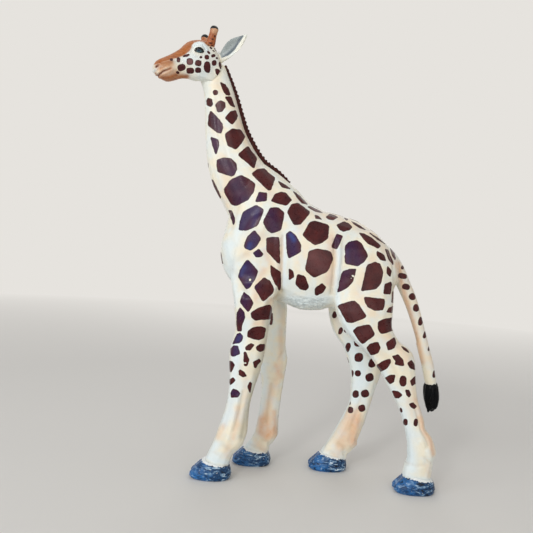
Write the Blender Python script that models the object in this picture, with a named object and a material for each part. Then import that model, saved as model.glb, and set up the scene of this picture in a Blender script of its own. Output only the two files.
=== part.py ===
# Giraffe figure of painted PVC, standing on its four hooves. It looks along -X with its head turned to
# its left, which is the -Y side. A form is a loft through sections drawn in side view, and a piece that
# another one plugs into is cut by that other one's own loft, grown by the fit gap.

import math

import bmesh
import bpy
from mathutils import Matrix, Vector
from mathutils.bvhtree import BVHTree

# Trunk, in metres
body_length = 0.1000        # front of the chest to the rump
body_depth = 0.0760         # belly line to withers
body_width = 0.0430         # across the barrel
belly_height = 0.0945       # ground to belly line, which sets the length of the legs

# Neck and head
neck_length = 0.0750
neck_depth = 0.0360         # front to back at its foot
neck_width = 0.0250         # across, at its foot
neck_lean = math.radians(19.8)
head_length = 0.0400
head_depth = 0.0245
head_width = 0.0176
head_turn = math.radians(27.0)
ear_length = 0.0187
ear_width = 0.0078
ossicone_length = 0.0098
ossicone_width = 0.0044
eye_diameter = 0.0054

# Legs and hooves
foreleg_depth = 0.0275      # front to back at the shoulder
hindleg_depth = 0.0330      # front to back at the haunch
leg_width = 0.0120          # across the knee
leg_spread = 0.0260         # between the middles of a pair of hooves
hoof_length = 0.0235
hoof_height = 0.0086
hoof_width = 0.0150

# Mane and tail
mane_width = 0.0020
mane_height = 0.0027        # how far it stands out of the neck
tail_length = 0.0720        # drop from its root to the tuft
tail_width = 0.0068
tuft_length = 0.0156
tuft_width = 0.0088

# Fits
fit_gap = 0.0003            # glue gap between a piece and its seat
overrun = 0.0040            # how far a cutter runs out of the piece it opens
edge_relief = 0.0003        # how far the edge of a shoulder or haunch stands on the flank
muscle_relief = 0.0014      # how far its middle does
neck_plug_length = 0.0080
root_depth = 0.0015         # how deep ears and ossicones sit in the skull
mane_root = 0.0012          # how deep the mane sits in its groove
eye_stand = 0.0013          # how far an eye stands out of its socket

sharp_edge = math.radians(38.0)

# Counts
trunk_sides = 24
neck_sides = 18
head_sides = 20
leg_sides = 12
hoof_sides = 20
small_sides = 10
mane_sides = 6
eye_sides = 12
eye_rows = 8
neck_end_rings = 4          # rings of the neck's end in the head, above the mane
mane_tufts = 30
tuft_strands = 7

# Trunk sections from rump to neck: upper edge and lower edge as (length, level), half width, squareness.
# Length 0 is the chest and 1 the rump; level 1 is the belly line and 2 the withers.
trunk_shares = [
    (1.010, 1.350, 1.005, 1.270, 0.22, 2.0),
    (1.000, 1.410, 0.990, 1.200, 0.48, 2.0),
    (0.968, 1.488, 0.955, 1.110, 0.72, 2.1),
    (0.912, 1.555, 0.890, 1.050, 0.86, 2.2),
    (0.840, 1.628, 0.817, 1.020, 0.91, 2.2),
    (0.750, 1.690, 0.730, 1.013, 0.93, 2.2),
    (0.663, 1.720, 0.643, 1.018, 0.97, 2.2),
    (0.575, 1.742, 0.558, 1.002, 1.00, 2.2),
    (0.499, 1.780, 0.472, 1.000, 1.00, 2.2),
    (0.450, 1.828, 0.390, 1.034, 0.97, 2.2),
    (0.419, 1.874, 0.285, 1.062, 0.93, 2.2),
    (0.388, 1.909, 0.151, 1.109, 0.90, 2.2),
    (0.358, 1.938, 0.061, 1.184, 0.87, 2.2),
    (0.328, 1.968, 0.010, 1.300, 0.82, 2.1),
    (0.292, 2.000, 0.001, 1.430, 0.73, 2.1)]

# Where the neck stands on the trunk, as (length, level)
neck_foot_shares = (0.118, 1.861)

# Neck sections from foot to head: back edge and front edge as (along the neck, across it), half width,
# squareness. Along is in neck lengths, across in neck depths.
neck_shares = [
    (0.154, 0.383, -0.154, -0.383, 1.00, 2.1),
    (0.234, 0.313, -0.038, -0.423, 0.94, 2.1),
    (0.341, 0.260, 0.088, -0.482, 0.86, 2.1),
    (0.429, 0.229, 0.239, -0.483, 0.78, 2.1),
    (0.536, 0.226, 0.405, -0.424, 0.69, 2.1),
    (0.627, 0.230, 0.561, -0.347, 0.61, 2.1),
    (0.713, 0.232, 0.694, -0.272, 0.55, 2.1),
    (0.789, 0.228, 0.807, -0.226, 0.50, 2.1),
    (0.875, 0.218, 0.887, -0.228, 0.46, 2.1),
    (0.950, 0.208, 0.930, -0.220, 0.41, 2.1),
    (0.964, 0.150, 0.950, -0.160, 0.25, 2.1),
    (0.968, 0.070, 0.960, -0.080, 0.10, 2.1)]
neck_plug_share = 0.62      # size of the plug at the neck's foot, of the section there

# Head sections from nose to back of skull: upper edge and lower edge as (length from the nose, height
# above the jaw), half width, squareness
head_shares = [
    (-0.015, 0.190, -0.005, 0.080, 0.26, 2.0),
    (0.020, 0.310, 0.060, 0.000, 0.50, 2.2),
    (0.095, 0.400, 0.140, -0.045, 0.60, 2.3),
    (0.168, 0.480, 0.230, -0.060, 0.64, 2.3),
    (0.253, 0.585, 0.315, 0.000, 0.63, 2.2),
    (0.340, 0.710, 0.400, 0.060, 0.70, 2.2),
    (0.428, 0.885, 0.500, 0.065, 0.85, 2.2),
    (0.528, 0.963, 0.600, 0.045, 0.97, 2.3),
    (0.640, 1.000, 0.690, 0.070, 1.00, 2.3),
    (0.740, 0.978, 0.780, 0.085, 0.96, 2.2),
    (0.820, 0.910, 0.880, 0.120, 0.88, 2.1),
    (0.886, 0.740, 0.942, 0.230, 0.70, 2.0),
    (0.930, 0.580, 0.958, 0.380, 0.38, 2.0)]
head_joint_share = (0.830, 0.450)       # where the head sits on the end of the neck
eye_share = (0.562, 0.683)              # middle of an eye
ossicone_share = (0.740, 0.500)         # length, and offset from the middle of the skull
ossicone_lean_share = (0.08, 0.40)      # back and out, of its length
ear_share = (0.900, 0.625)              # root of an ear
ear_reach_shares = (0.53, 0.55, 0.64)   # back, out and up
ear_face_shares = (-0.69, 0.69, -0.17)  # the way the cup opens

# Ear sections from root to tip: along, half width, half thickness, depth of the cup
ear_shares = [
    (0.00, 0.46, 0.30, 0.00),
    (0.14, 0.55, 0.30, 0.04),
    (0.28, 0.82, 0.20, 0.26),
    (0.45, 0.96, 0.13, 0.52),
    (0.62, 1.00, 0.12, 0.50),
    (0.80, 0.74, 0.11, 0.28),
    (0.93, 0.34, 0.10, 0.08),
    (1.00, 0.09, 0.08, 0.00)]

# Ossicone sections from root to knob: along, half width
ossicone_shares = [
    (0.00, 1.10), (0.22, 1.16), (0.40, 1.04), (0.58, 0.94),
    (0.74, 0.98), (0.86, 1.05), (0.95, 0.82), (1.00, 0.35)]

# Leg sections from hoof to body: level, length along the body, depth, width. The width of a shoulder or
# haunch is a share of the body's.
left_foreleg_shares = [
    (0.035, 0.060, 0.22, 0.40),
    (0.070, 0.068, 0.42, 0.72),
    (0.105, 0.074, 0.475, 0.90),
    (0.160, 0.093, 0.450, 0.93),
    (0.225, 0.128, 0.545, 0.98),
    (0.280, 0.144, 0.570, 0.96),
    (0.360, 0.155, 0.495, 0.84),
    (0.450, 0.165, 0.455, 0.83),
    (0.550, 0.177, 0.510, 0.88),
    (0.635, 0.187, 0.610, 0.96),
    (0.720, 0.191, 0.685, 1.03),
    (0.800, 0.201, 0.665, 1.00),
    (0.865, 0.210, 0.645, 1.04),
    (0.950, 0.209, 0.705, 1.16)]
right_foreleg_shares = [
    (0.020, 0.250, 0.22, 0.40),
    (0.050, 0.262, 0.42, 0.72),
    (0.080, 0.275, 0.470, 0.90),
    (0.145, 0.311, 0.455, 0.93),
    (0.205, 0.332, 0.470, 0.98),
    (0.300, 0.339, 0.435, 0.90),
    (0.410, 0.346, 0.420, 0.84),
    (0.500, 0.348, 0.462, 0.86),
    (0.600, 0.345, 0.555, 0.95),
    (0.665, 0.340, 0.630, 1.02),
    (0.735, 0.325, 0.620, 1.00),
    (0.820, 0.312, 0.700, 1.06),
    (0.900, 0.298, 0.790, 1.12),
    (0.970, 0.285, 0.870, 1.18)]
left_shoulder_shares = [
    (1.060, 0.210, 0.810, 0.368),
    (1.170, 0.208, 0.960, 0.402),
    (1.290, 0.208, 1.000, 0.419),
    (1.410, 0.212, 0.940, 0.407),
    (1.520, 0.222, 0.800, 0.357),
    (1.610, 0.236, 0.580, 0.268),
    (1.660, 0.245, 0.300, 0.167)]
right_shoulder_shares = [
    (1.060, 0.262, 0.930, 0.368),
    (1.170, 0.240, 0.990, 0.402),
    (1.290, 0.226, 1.000, 0.419),
    (1.410, 0.222, 0.940, 0.407),
    (1.520, 0.226, 0.800, 0.357),
    (1.610, 0.237, 0.580, 0.268),
    (1.660, 0.245, 0.300, 0.167)]
left_hindleg_shares = [
    (0.025, 1.150, 0.18, 0.40),
    (0.055, 1.158, 0.35, 0.72),
    (0.085, 1.164, 0.455, 0.90),
    (0.130, 1.169, 0.460, 0.93),
    (0.180, 1.180, 0.425, 0.94),
    (0.235, 1.184, 0.475, 0.98),
    (0.305, 1.166, 0.405, 0.90),
    (0.395, 1.133, 0.345, 0.80),
    (0.480, 1.100, 0.328, 0.78),
    (0.555, 1.071, 0.385, 0.84),
    (0.630, 1.044, 0.485, 0.92),
    (0.700, 1.022, 0.575, 1.00),
    (0.755, 1.000, 0.630, 1.06),
    (0.810, 0.945, 0.520, 1.12),
    (0.890, 0.873, 0.650, 1.24)]
right_hindleg_shares = [
    (0.025, 0.700, 0.18, 0.40),
    (0.055, 0.718, 0.35, 0.72),
    (0.085, 0.736, 0.445, 0.90),
    (0.155, 0.778, 0.450, 0.93),
    (0.230, 0.811, 0.435, 0.98),
    (0.305, 0.839, 0.405, 0.90),
    (0.395, 0.868, 0.362, 0.82),
    (0.480, 0.883, 0.400, 0.82),
    (0.565, 0.893, 0.478, 0.88),
    (0.650, 0.898, 0.585, 0.95),
    (0.735, 0.886, 0.640, 1.02),
    (0.815, 0.862, 0.700, 1.12),
    (0.890, 0.830, 0.845, 1.24)]
left_haunch_shares = [
    (0.980, 0.827, 0.885, 0.385),
    (1.090, 0.811, 0.980, 0.419),
    (1.220, 0.807, 0.990, 0.430),
    (1.350, 0.804, 0.920, 0.391),
    (1.470, 0.800, 0.740, 0.313),
    (1.550, 0.798, 0.500, 0.223),
    (1.600, 0.797, 0.260, 0.126)]
right_haunch_shares = [
    (0.980, 0.808, 0.920, 0.385),
    (1.090, 0.806, 0.985, 0.419),
    (1.220, 0.806, 0.990, 0.430),
    (1.350, 0.804, 0.920, 0.391),
    (1.470, 0.800, 0.740, 0.313),
    (1.550, 0.798, 0.500, 0.223),
    (1.600, 0.797, 0.260, 0.126)]
hoof_place_shares = (0.034, 0.252, 1.150, 0.704)      # middle of each hoof along the body
leg_square = 2.3
leg_follow_share = 0.6
flank_share = (0.80, 1.10)      # levels between which a leg leaves its own plane for the flank
settle_share = (1.05, 1.45)     # levels between which its outer side takes the flank's shape

# Hoof sections from sole to rim: front edge and rear edge as (length from the heel, height), half
# width, depth of the cleft
hoof_shares = [
    (0.920, 0.00, 0.060, 0.00, 0.90, 0.15),
    (0.995, 0.14, 0.015, 0.12, 0.99, 0.15),
    (0.990, 0.38, 0.000, 0.36, 1.00, 0.13),
    (0.860, 0.72, 0.020, 0.62, 0.96, 0.10),
    (0.730, 1.04, 0.060, 0.84, 0.90, 0.05),
    (0.670, 1.16, 0.110, 0.92, 0.82, 0.02)]
cleft_angle = math.radians(15.0)

# Mane height along its length, from the ears to the withers
mane_shares = [
    (0.00, 0.25), (0.08, 0.45), (0.25, 0.70), (0.50, 0.95), (0.70, 1.00), (0.88, 0.75), (1.00, 0.25)]
mane_end_share = 0.365          # where it ends along the trunk
mane_square = 2.6
tuft_dip_share = 0.30           # notch between two locks, of the mane's height there

# Tail sections from root to tuft: back from its root, below its root, thickness
tail_square = 2.0
tail_root_share = (0.985, 1.435)
tail_shares = [
    (-0.092, -0.041, 0.80),
    (-0.046, -0.006, 1.26),
    (0.036, 0.105, 1.26),
    (0.095, 0.216, 1.17),
    (0.138, 0.292, 1.09),
    (0.179, 0.383, 1.00),
    (0.220, 0.494, 0.93),
    (0.257, 0.605, 0.93),
    (0.292, 0.716, 0.94),
    (0.329, 0.827, 0.96),
    (0.352, 0.917, 0.93),
    (0.370, 0.985, 0.86),
    (0.380, 1.030, 0.58),
    (0.388, 1.060, 0.27)]
tuft_share = (0.367, 0.966)     # middle of the tuft's upper end
tuft_lean_share = 0.10          # how far it runs back, of its length

# Tuft sections from top to bottom: along, half width, depth of the grooves between its strands
tuft_shares = [
    (0.00, 0.50, 0.00), (0.06, 0.78, 0.05), (0.18, 0.94, 0.09), (0.40, 1.00, 0.12),
    (0.64, 0.98, 0.15), (0.84, 0.86, 0.19), (0.95, 0.66, 0.23), (1.00, 0.42, 0.26)]

# Paint colours, roughness
paints = {
    "coat": ((0.86, 0.82, 0.73), 0.32),
    "dark_hair": ((0.075, 0.022, 0.020), 0.45),
    "black_hair": ((0.010, 0.011, 0.013), 0.35),
    "hoof": ((0.055, 0.105, 0.220), 0.45),
    "horn": ((0.47, 0.17, 0.07), 0.38),
    "eye": ((0.010, 0.010, 0.012), 0.10)}


def clear_scene():
    for old in list(bpy.data.objects):
        bpy.data.objects.remove(old, do_unlink=True)


def new_collection(name):
    made = bpy.data.collections.new(name)
    bpy.context.scene.collection.children.link(made)
    return made


def paint(name, part_name):
    colour, roughness = paints[name]
    made = bpy.data.materials.new(part_name + "_" + name)
    made.use_nodes = True
    shader = made.node_tree.nodes["Principled BSDF"]
    shader.inputs["Base Color"].default_value = (*colour, 1.0)
    shader.inputs["Roughness"].default_value = roughness
    shader.inputs["Metallic"].default_value = 0.0
    return made


def level(share):
    if share < 1.0:
        return share * belly_height
    return belly_height + (share - 1.0) * body_depth


def curve_through(rows, steps):
    # Rows on a smooth curve through the given ones
    out = []
    last = len(rows) - 1
    for i in range(last):
        before, here, there, after = (rows[max(i - 1, 0)], rows[i], rows[i + 1], rows[min(i + 2, last)])
        for k in range(steps):
            t = k / steps
            out.append(tuple(
                b + 0.5 * t * (c - a + t * (2.0 * a - 5.0 * b + 4.0 * c - d + t * (3.0 * (b - c) + d - a)))
                for a, b, c, d in zip(before, here, there, after)))
    out.append(tuple(rows[last]))
    return out


def signed_power(value, power):
    return math.copysign(abs(value) ** power, value)


class Section:
    # One cross-section of a loft: its middle, half its height as a vector and half its width
    def __init__(self, middle, rise, half_width, square=2.0):
        self.middle, self.rise, self.half_width, self.square = middle, rise, half_width, square

    def top(self):
        return self.middle + self.rise

    def grown(self, gap):
        rise = self.rise.normalized() * (self.rise.length + gap)
        return Section(self.middle, rise, self.half_width + gap, self.square)

    def moved(self, step):
        return Section(self.middle + step, self.rise, self.half_width, self.square)

    def ring(self, sides):
        power = 2.0 / self.square
        points = []
        for k in range(sides):
            angle = math.tau * k / sides
            across = self.half_width * signed_power(math.cos(angle), power)
            points.append(self.middle + self.rise * signed_power(math.sin(angle), power)
                          + Vector((0.0, across, 0.0)))
        return points


def between_edges(rows):
    # Sections whose upper and lower edges are given in side view
    made = []
    for top_x, top_z, low_x, low_z, half_width, square in rows:
        top, low = Vector((top_x, 0.0, top_z)), Vector((low_x, 0.0, low_z))
        made.append(Section((top + low) / 2, (top - low) / 2, half_width, square))
    return made


def along_path(rows, square, follow_share):
    # Sections on a path: x, y and z of the path, depth and width there. They are level where
    # follow_share is 0 and square to the path where it is 1.
    spots = [Vector(row[:3]) for row in rows]
    made = []
    for i, row in enumerate(rows):
        run = spots[min(i + 1, len(rows) - 1)] - spots[max(i - 1, 0)]
        forward = Vector((-run.z, 0.0, run.x * follow_share)).normalized()
        made.append(Section(spots[i], forward * row[3] / 2, row[4] / 2, square))
    return made


def grown_all(sections, gap):
    # The same form, larger all round by the gap, its two ends included
    made = [section.grown(gap) for section in sections]
    first = (sections[0].middle - sections[1].middle).normalized() * gap
    last = (sections[-1].middle - sections[-2].middle).normalized() * gap
    made[0] = made[0].moved(first)
    made[-1] = made[-1].moved(last)
    return made


def skin(rings):
    # A closed mesh over rings of points, with a flat face on each end
    mesh = bmesh.new()
    rows = [[mesh.verts.new(point) for point in ring] for ring in rings]
    for near, far in zip(rows, rows[1:]):
        for k in range(len(near)):
            after = (k + 1) % len(near)
            mesh.faces.new((near[k], near[after], far[after], far[k]))
    mesh.faces.new(reversed(rows[0]))
    mesh.faces.new(rows[-1])
    if mesh.calc_volume(signed=True) < 0.0:
        bmesh.ops.reverse_faces(mesh, faces=mesh.faces)
    return mesh


def add_object(mesh, name, material_name, collection):
    data = bpy.data.meshes.new(name)
    mesh.to_mesh(data)
    mesh.free()
    data.shade_smooth()
    data.set_sharp_from_angle(angle=sharp_edge)
    data.materials.append(paint(material_name, name))
    made = bpy.data.objects.new(name, data)
    collection.objects.link(made)
    return made


def add_cutter(mesh, name):
    made = add_object(mesh, name + "_seat", "coat", cutters)
    made.hide_render = True
    made.display_type = "WIRE"
    return made


def cut(host, cutter):
    seat = host.modifiers.new("seat of " + cutter.name, "BOOLEAN")
    seat.operation = "DIFFERENCE"
    seat.solver = "EXACT"
    seat.object = cutter


# Trunk and neck

def neck_point(along_share, across_share):
    foot = Vector((neck_foot_shares[0] * body_length, 0.0, level(neck_foot_shares[1])))
    up = Vector((-math.sin(neck_lean), 0.0, math.cos(neck_lean)))
    back = Vector((math.cos(neck_lean), 0.0, math.sin(neck_lean)))
    return foot + up * along_share * neck_length + back * across_share * neck_depth


def neck_sections():
    rows = []
    for back_along, back_across, front_along, front_across, width_share, square in neck_shares:
        back, front = neck_point(back_along, back_across), neck_point(front_along, front_across)
        rows.append((back.x, back.z, front.x, front.z, width_share * neck_width / 2, square))
    return between_edges(curve_through(rows, 2))


def neck_foot_normal(foot):
    # Square to the plane where neck and trunk meet, towards the trunk
    return Vector((foot.rise.z, 0.0, -foot.rise.x)).normalized()


def neck_plug(foot):
    inward = neck_foot_normal(foot)
    root = Section(foot.middle, foot.rise * neck_plug_share, foot.half_width * neck_plug_share)
    return [root.moved(inward * neck_plug_length), root]


def trunk_sections(foot):
    rows = []
    for top_x, top_z, low_x, low_z, width_share, square in trunk_shares:
        rows.append((top_x * body_length, level(top_z), low_x * body_length, level(low_z),
                     width_share * body_width / 2, square))
    end = foot.moved(neck_foot_normal(foot) * fit_gap)
    top, low = end.middle + end.rise, end.middle - end.rise
    rows.append((top.x, top.z, low.x, low.z, end.half_width, end.square))
    return between_edges(curve_through(rows, 2))


def make_trunk_and_neck():
    along = neck_sections()
    foot = along[0]
    trunk_form = trunk_sections(foot)
    trunk = add_object(skin([s.ring(trunk_sides) for s in trunk_form]), "torso", "coat", figure)
    plug = neck_plug(foot)
    neck_rings = [s.ring(neck_sides) for s in plug + along]
    neck = add_object(skin(neck_rings), "neck", "coat", figure)
    deeper = [plug[0].grown(fit_gap).moved(neck_foot_normal(foot) * fit_gap),
              plug[1].grown(fit_gap).moved(-neck_foot_normal(foot) * overrun)]
    cut(trunk, add_cutter(skin([s.ring(neck_sides) for s in deeper]), "neck_plug"))
    head_end = grown_all(along[len(along) // 2:], fit_gap)
    neck_top = add_cutter(skin([s.ring(neck_sides) for s in head_end]), "neck_top")
    return trunk, trunk_form, neck, along, neck_top


# Mane

def evenly(points, count):
    # Points at even steps along a chain of points
    runs = [(b - a).length for a, b in zip(points, points[1:])]
    total = sum(runs)
    out = []
    for k in range(count + 1):
        left = total * k / count
        i = 0
        while i < len(runs) - 1 and left > runs[i]:
            left -= runs[i]
            i += 1
        out.append(points[i].lerp(points[i + 1], min(left / runs[i], 1.0)))
    return out


def height_at(table, share):
    for (a, low), (b, high) in zip(table, table[1:]):
        if share <= b:
            return low + (high - low) * (share - a) / (b - a)
    return table[-1][1]


def mane_form(trunk_form, neck_form, grow):
    crest = [s.top() for s in reversed(neck_form[:-neck_end_rings])]
    crest += [s.top() for s in reversed(trunk_form) if s.top().x < mane_end_share * body_length]
    steps = mane_tufts * 2
    spots = evenly(crest, steps)
    made = []
    for i, spot in enumerate(spots):
        run = spots[min(i + 1, steps)] - spots[max(i - 1, 0)]
        out = Vector((-run.z, 0.0, run.x)).normalized()
        height = mane_height * height_at(mane_shares, i / steps)
        if i % 2:
            height *= 1.0 - tuft_dip_share
        middle = spot + out * (height - mane_root) / 2
        made.append(Section(middle, out * (height + mane_root) / 2, mane_width / 2, mane_square))
    return grown_all(made, grow) if grow else made


def make_mane(trunk, neck, trunk_form, neck_form):
    rings = [s.ring(mane_sides) for s in mane_form(trunk_form, neck_form, 0.0)]
    add_object(skin(rings), "mane", "dark_hair", figure)
    rings = [s.ring(mane_sides) for s in mane_form(trunk_form, neck_form, fit_gap)]
    groove = add_cutter(skin(rings), "mane")
    cut(trunk, groove)
    cut(neck, groove)


# Legs and hooves

def ease(value):
    value = min(max(value, 0.0), 1.0)
    return value * value * (3.0 - 2.0 * value)


def flank_at(flank, side, x, z):
    # How far out the trunk's flank is at this place in side view, or None beside the trunk
    hit = flank.ray_cast(Vector((x, side * body_width, z)), Vector((0.0, -side, 0.0)))[0]
    if hit is None or side * hit.y <= 0.0:
        return None
    return side * hit.y


def eased_level(height, shares):
    low, high = (level(share) for share in shares)
    return ease((height - low) / (high - low))


def leg_form(lower_rows, upper_rows, depth, side, flank):
    path = [(x * body_length, 0.0, level(height), depth_share * depth, width_share * width)
            for rows, width in ((lower_rows, leg_width), (upper_rows, body_width))
            for height, x, depth_share, width_share in rows]
    sections = along_path(curve_through(path, 2), leg_square, leg_follow_share)
    for section in sections:
        spot = section.middle
        widest = body_width / 2
        out = flank_at(flank, side, spot.x, spot.z) or widest
        out = widest + (out - widest) * eased_level(spot.z, settle_share)
        lift = eased_level(spot.z, flank_share)
        on_flank = out + muscle_relief - section.half_width
        spot.y = side * (leg_spread / 2 * (1.0 - lift) + on_flank * lift)
    return sections


def lay_on_flank(sections, side, flank, edge, muscle):
    # The outer half of each ring comes to lie on the flank, proud of it by edge at its rim and by
    # muscle more in the middle
    rings = []
    for section in sections:
        ring = section.ring(leg_sides)
        settled = eased_level(section.middle.z, settle_share)
        for point in ring:
            out = side * (point.y - section.middle.y)
            flank_out = flank_at(flank, side, point.x, point.z)
            if out <= 0.0 or flank_out is None:
                continue
            inner = side * section.middle.y - out
            rim = max(flank_out + edge, inner)
            own = max(side * point.y, rim)
            proud = min(own, rim + muscle * out / section.half_width)
            point.y = side * (own + (proud - own) * settled)
        rings.append(ring)
    return rings


def make_leg(name, lower_rows, upper_rows, depth, side, flank, trunk):
    form = leg_form(lower_rows, upper_rows, depth, side, flank)
    rings = lay_on_flank(form, side, flank, edge_relief, muscle_relief)
    add_object(skin(rings), name, "coat", figure)
    seat = add_cutter(skin(lay_on_flank(grown_all(form, fit_gap), side, flank, overrun, 0.0)), name)
    cut(trunk, seat)
    return seat


def hoof_ring(row, middle_x, side):
    front_x, front_z, rear_x, rear_z, width_share, cleft = row
    heel = middle_x + hoof_length / 2
    front = Vector((heel - front_x * hoof_length, 0.0, front_z * hoof_height))
    rear = Vector((heel - rear_x * hoof_length, 0.0, rear_z * hoof_height))
    reach = (front - rear) / 2
    middle = (front + rear) / 2 + Vector((0.0, side * leg_spread / 2, 0.0))
    points = []
    for k in range(hoof_sides):
        angle = math.tau * k / hoof_sides
        turn = min(angle, math.tau - angle) / cleft_angle
        along = signed_power(math.cos(angle), 0.85) * (1.0 - cleft * math.exp(-turn * turn))
        across = width_share * hoof_width / 2 * signed_power(math.sin(angle), 0.85)
        points.append(middle + reach * along + Vector((0.0, across, 0.0)))
    return points


def make_legs(trunk, flank):
    fore, hind = foreleg_depth, hindleg_depth
    legs = [
        ("front_left", left_foreleg_shares, left_shoulder_shares, fore, -1.0),
        ("front_right", right_foreleg_shares, right_shoulder_shares, fore, 1.0),
        ("hind_left", left_hindleg_shares, left_haunch_shares, hind, -1.0),
        ("hind_right", right_hindleg_shares, right_haunch_shares, hind, 1.0)]
    for (place, lower_rows, upper_rows, depth, side), hoof_share in zip(legs, hoof_place_shares):
        seat = make_leg(place + "_leg", lower_rows, upper_rows, depth, side, flank, trunk)
        rings = [hoof_ring(row, hoof_share * body_length, side) for row in hoof_shares]
        hoof = add_object(skin(rings), place + "_hoof", "hoof", figure)
        cut(hoof, seat)


# Head

def head_local(length_share, height_share):
    return ((length_share - head_joint_share[0]) * head_length,
            (height_share - head_joint_share[1]) * head_depth)


def head_placing():
    joint = neck_point(0.965, 0.0)
    return Matrix.Translation(joint) @ Matrix.Rotation(head_turn, 4, "Z")


def put(mesh, matrix):
    bmesh.ops.transform(mesh, matrix=matrix, verts=mesh.verts)
    return mesh


def head_mesh():
    rows = []
    for top_x, top_z, low_x, low_z, width_share, square in head_shares:
        rows.append((*head_local(top_x, top_z), *head_local(low_x, low_z),
                     width_share * head_width / 2, square))
    return skin([s.ring(head_sides) for s in between_edges(curve_through(rows, 2))])


def eye_mesh(spot, grow):
    mesh = bmesh.new()
    bmesh.ops.create_uvsphere(mesh, u_segments=eye_sides, v_segments=eye_rows, radius=eye_diameter / 2 + grow)
    turned = Matrix.Translation(spot) @ Matrix.Rotation(math.radians(90.0), 4, "X")
    return put(mesh, turned)


def ossicone_mesh(spot, side, grow):
    lean = Vector((ossicone_lean_share[0], side * ossicone_lean_share[1], 1.0)).normalized()
    root = spot - lean * (root_depth + grow)
    reach = ossicone_length + root_depth + grow
    first = lean.cross(Vector((0.0, 1.0, 0.0))).normalized()
    second = lean.cross(first)
    rings = []
    for share, width_share in ossicone_shares:
        radius = width_share * ossicone_width / 2 + grow
        middle = root + lean * share * reach
        rings.append([middle + (first * math.cos(a) + second * math.sin(a)) * radius
                      for a in (math.tau * k / small_sides for k in range(small_sides))])
    return skin(rings)


def ear_mesh(spot, side, grow):
    reach = Vector((ear_reach_shares[0], side * ear_reach_shares[1], ear_reach_shares[2])).normalized()
    face = Vector((ear_face_shares[0], side * ear_face_shares[1], ear_face_shares[2]))
    face = (face - reach * face.dot(reach)).normalized()
    across = face.cross(reach)
    root = spot - reach * (root_depth + grow)
    rings = []
    for share, width_share, thick_share, cup_share in curve_through(ear_shares, 2):
        half_width = width_share * ear_width / 2 + grow
        half_thick = thick_share * ear_width / 2 + grow
        cup = cup_share * ear_width / 2
        middle = root + reach * share * (ear_length + root_depth + grow)
        ring = []
        for k in range(small_sides):
            angle = math.tau * k / small_sides
            wide, deep = math.cos(angle), math.sin(angle)
            ring.append(middle + across * wide * half_width + face * (deep * half_thick + cup * wide * wide))
        rings.append(ring)
    return skin(rings)


def make_head(neck_top):
    placing = head_placing()
    form = head_mesh()
    surface = BVHTree.FromBMesh(form)
    head = add_object(put(form, placing), "head", "coat", figure)
    cut(head, neck_top)
    for name, side in (("left", -1.0), ("right", 1.0)):
        inward = Vector((0.0, -side, 0.0))
        x, z = head_local(*eye_share)
        hit = surface.ray_cast(Vector((x, side * head_width, z)), inward)[0]
        eye_spot = hit + inward * (eye_diameter / 2 - eye_stand)
        x, z = head_local(*ear_share)
        ear_spot = surface.ray_cast(Vector((x, side * head_width, z)), inward)[0]
        x, z = head_local(ossicone_share[0], 1.0)
        above = Vector((x, side * ossicone_share[1] * head_width / 2, z + head_depth))
        horn_spot = surface.ray_cast(above, Vector((0.0, 0.0, -1.0)))[0]
        add_object(put(eye_mesh(eye_spot, 0.0), placing), name + "_eye", "eye", figure)
        cut(head, add_cutter(put(eye_mesh(eye_spot, fit_gap), placing), name + "_eye"))
        add_object(put(ear_mesh(ear_spot, side, 0.0), placing), name + "_ear", "coat", figure)
        cut(head, add_cutter(put(ear_mesh(ear_spot, side, fit_gap), placing), name + "_ear"))
        add_object(put(ossicone_mesh(horn_spot, side, 0.0), placing), name + "_ossicone", "horn", figure)
        cut(head, add_cutter(put(ossicone_mesh(horn_spot, side, fit_gap), placing), name + "_ossicone"))


# Tail

def tail_point(back_share, drop_share):
    root = Vector((tail_root_share[0] * body_length, 0.0, level(tail_root_share[1])))
    return root + Vector((back_share * tail_length, 0.0, -drop_share * tail_length))


def tuft_rings():
    top = tail_point(*tuft_share)
    down = Vector((tuft_lean_share, 0.0, -1.0)).normalized()
    first = down.cross(Vector((0.0, 1.0, 0.0))).normalized()
    second = down.cross(first)
    sides = tuft_strands * 4
    rings = []
    for share, width_share, groove_share in tuft_shares:
        middle = top + down * share * tuft_length
        ring = []
        for k in range(sides):
            angle = math.tau * k / sides
            ridge = 1.0 - groove_share * (0.5 - 0.5 * math.cos(tuft_strands * angle))
            radius = width_share * tuft_width / 2 * ridge
            ring.append(middle + (first * math.cos(angle) + second * math.sin(angle)) * radius)
        rings.append(ring)
    return rings


def make_tail(trunk):
    rows = []
    for back, drop, thick in tail_shares:
        spot = tail_point(back, drop)
        rows.append((spot.x, 0.0, spot.z, thick * tail_width, thick * tail_width))
    form = along_path(curve_through(rows, 2), tail_square, 1.0)
    add_object(skin([s.ring(small_sides) for s in form]), "tail", "coat", figure)
    seat = add_cutter(skin([s.ring(small_sides) for s in grown_all(form, fit_gap)]), "tail")
    cut(trunk, seat)
    tuft = add_object(skin(tuft_rings()), "tail_tuft", "black_hair", figure)
    cut(tuft, seat)


def stand_on_origin():
    # The origin lies on the ground under the middle of the figure's box
    xs = [v.co.x for part in figure.objects for v in part.data.vertices]
    ys = [v.co.y for part in figure.objects for v in part.data.vertices]
    shift = Vector((-(min(xs) + max(xs)) / 2, -(min(ys) + max(ys)) / 2, 0.0))
    for part in list(figure.objects) + list(cutters.objects):
        part.location = shift


clear_scene()
figure = new_collection("giraffe_figure")
cutters = new_collection("cutters")
torso, torso_form, neck_part, neck_form_list, neck_top_seat = make_trunk_and_neck()
flank_mesh = bmesh.new()
flank_mesh.from_mesh(torso.data)
flank_surface = BVHTree.FromBMesh(flank_mesh)
flank_mesh.free()
make_legs(torso, flank_surface)
make_tail(torso)
make_mane(torso, neck_part, torso_form, neck_form_list)
make_head(neck_top_seat)
stand_on_origin()
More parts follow.
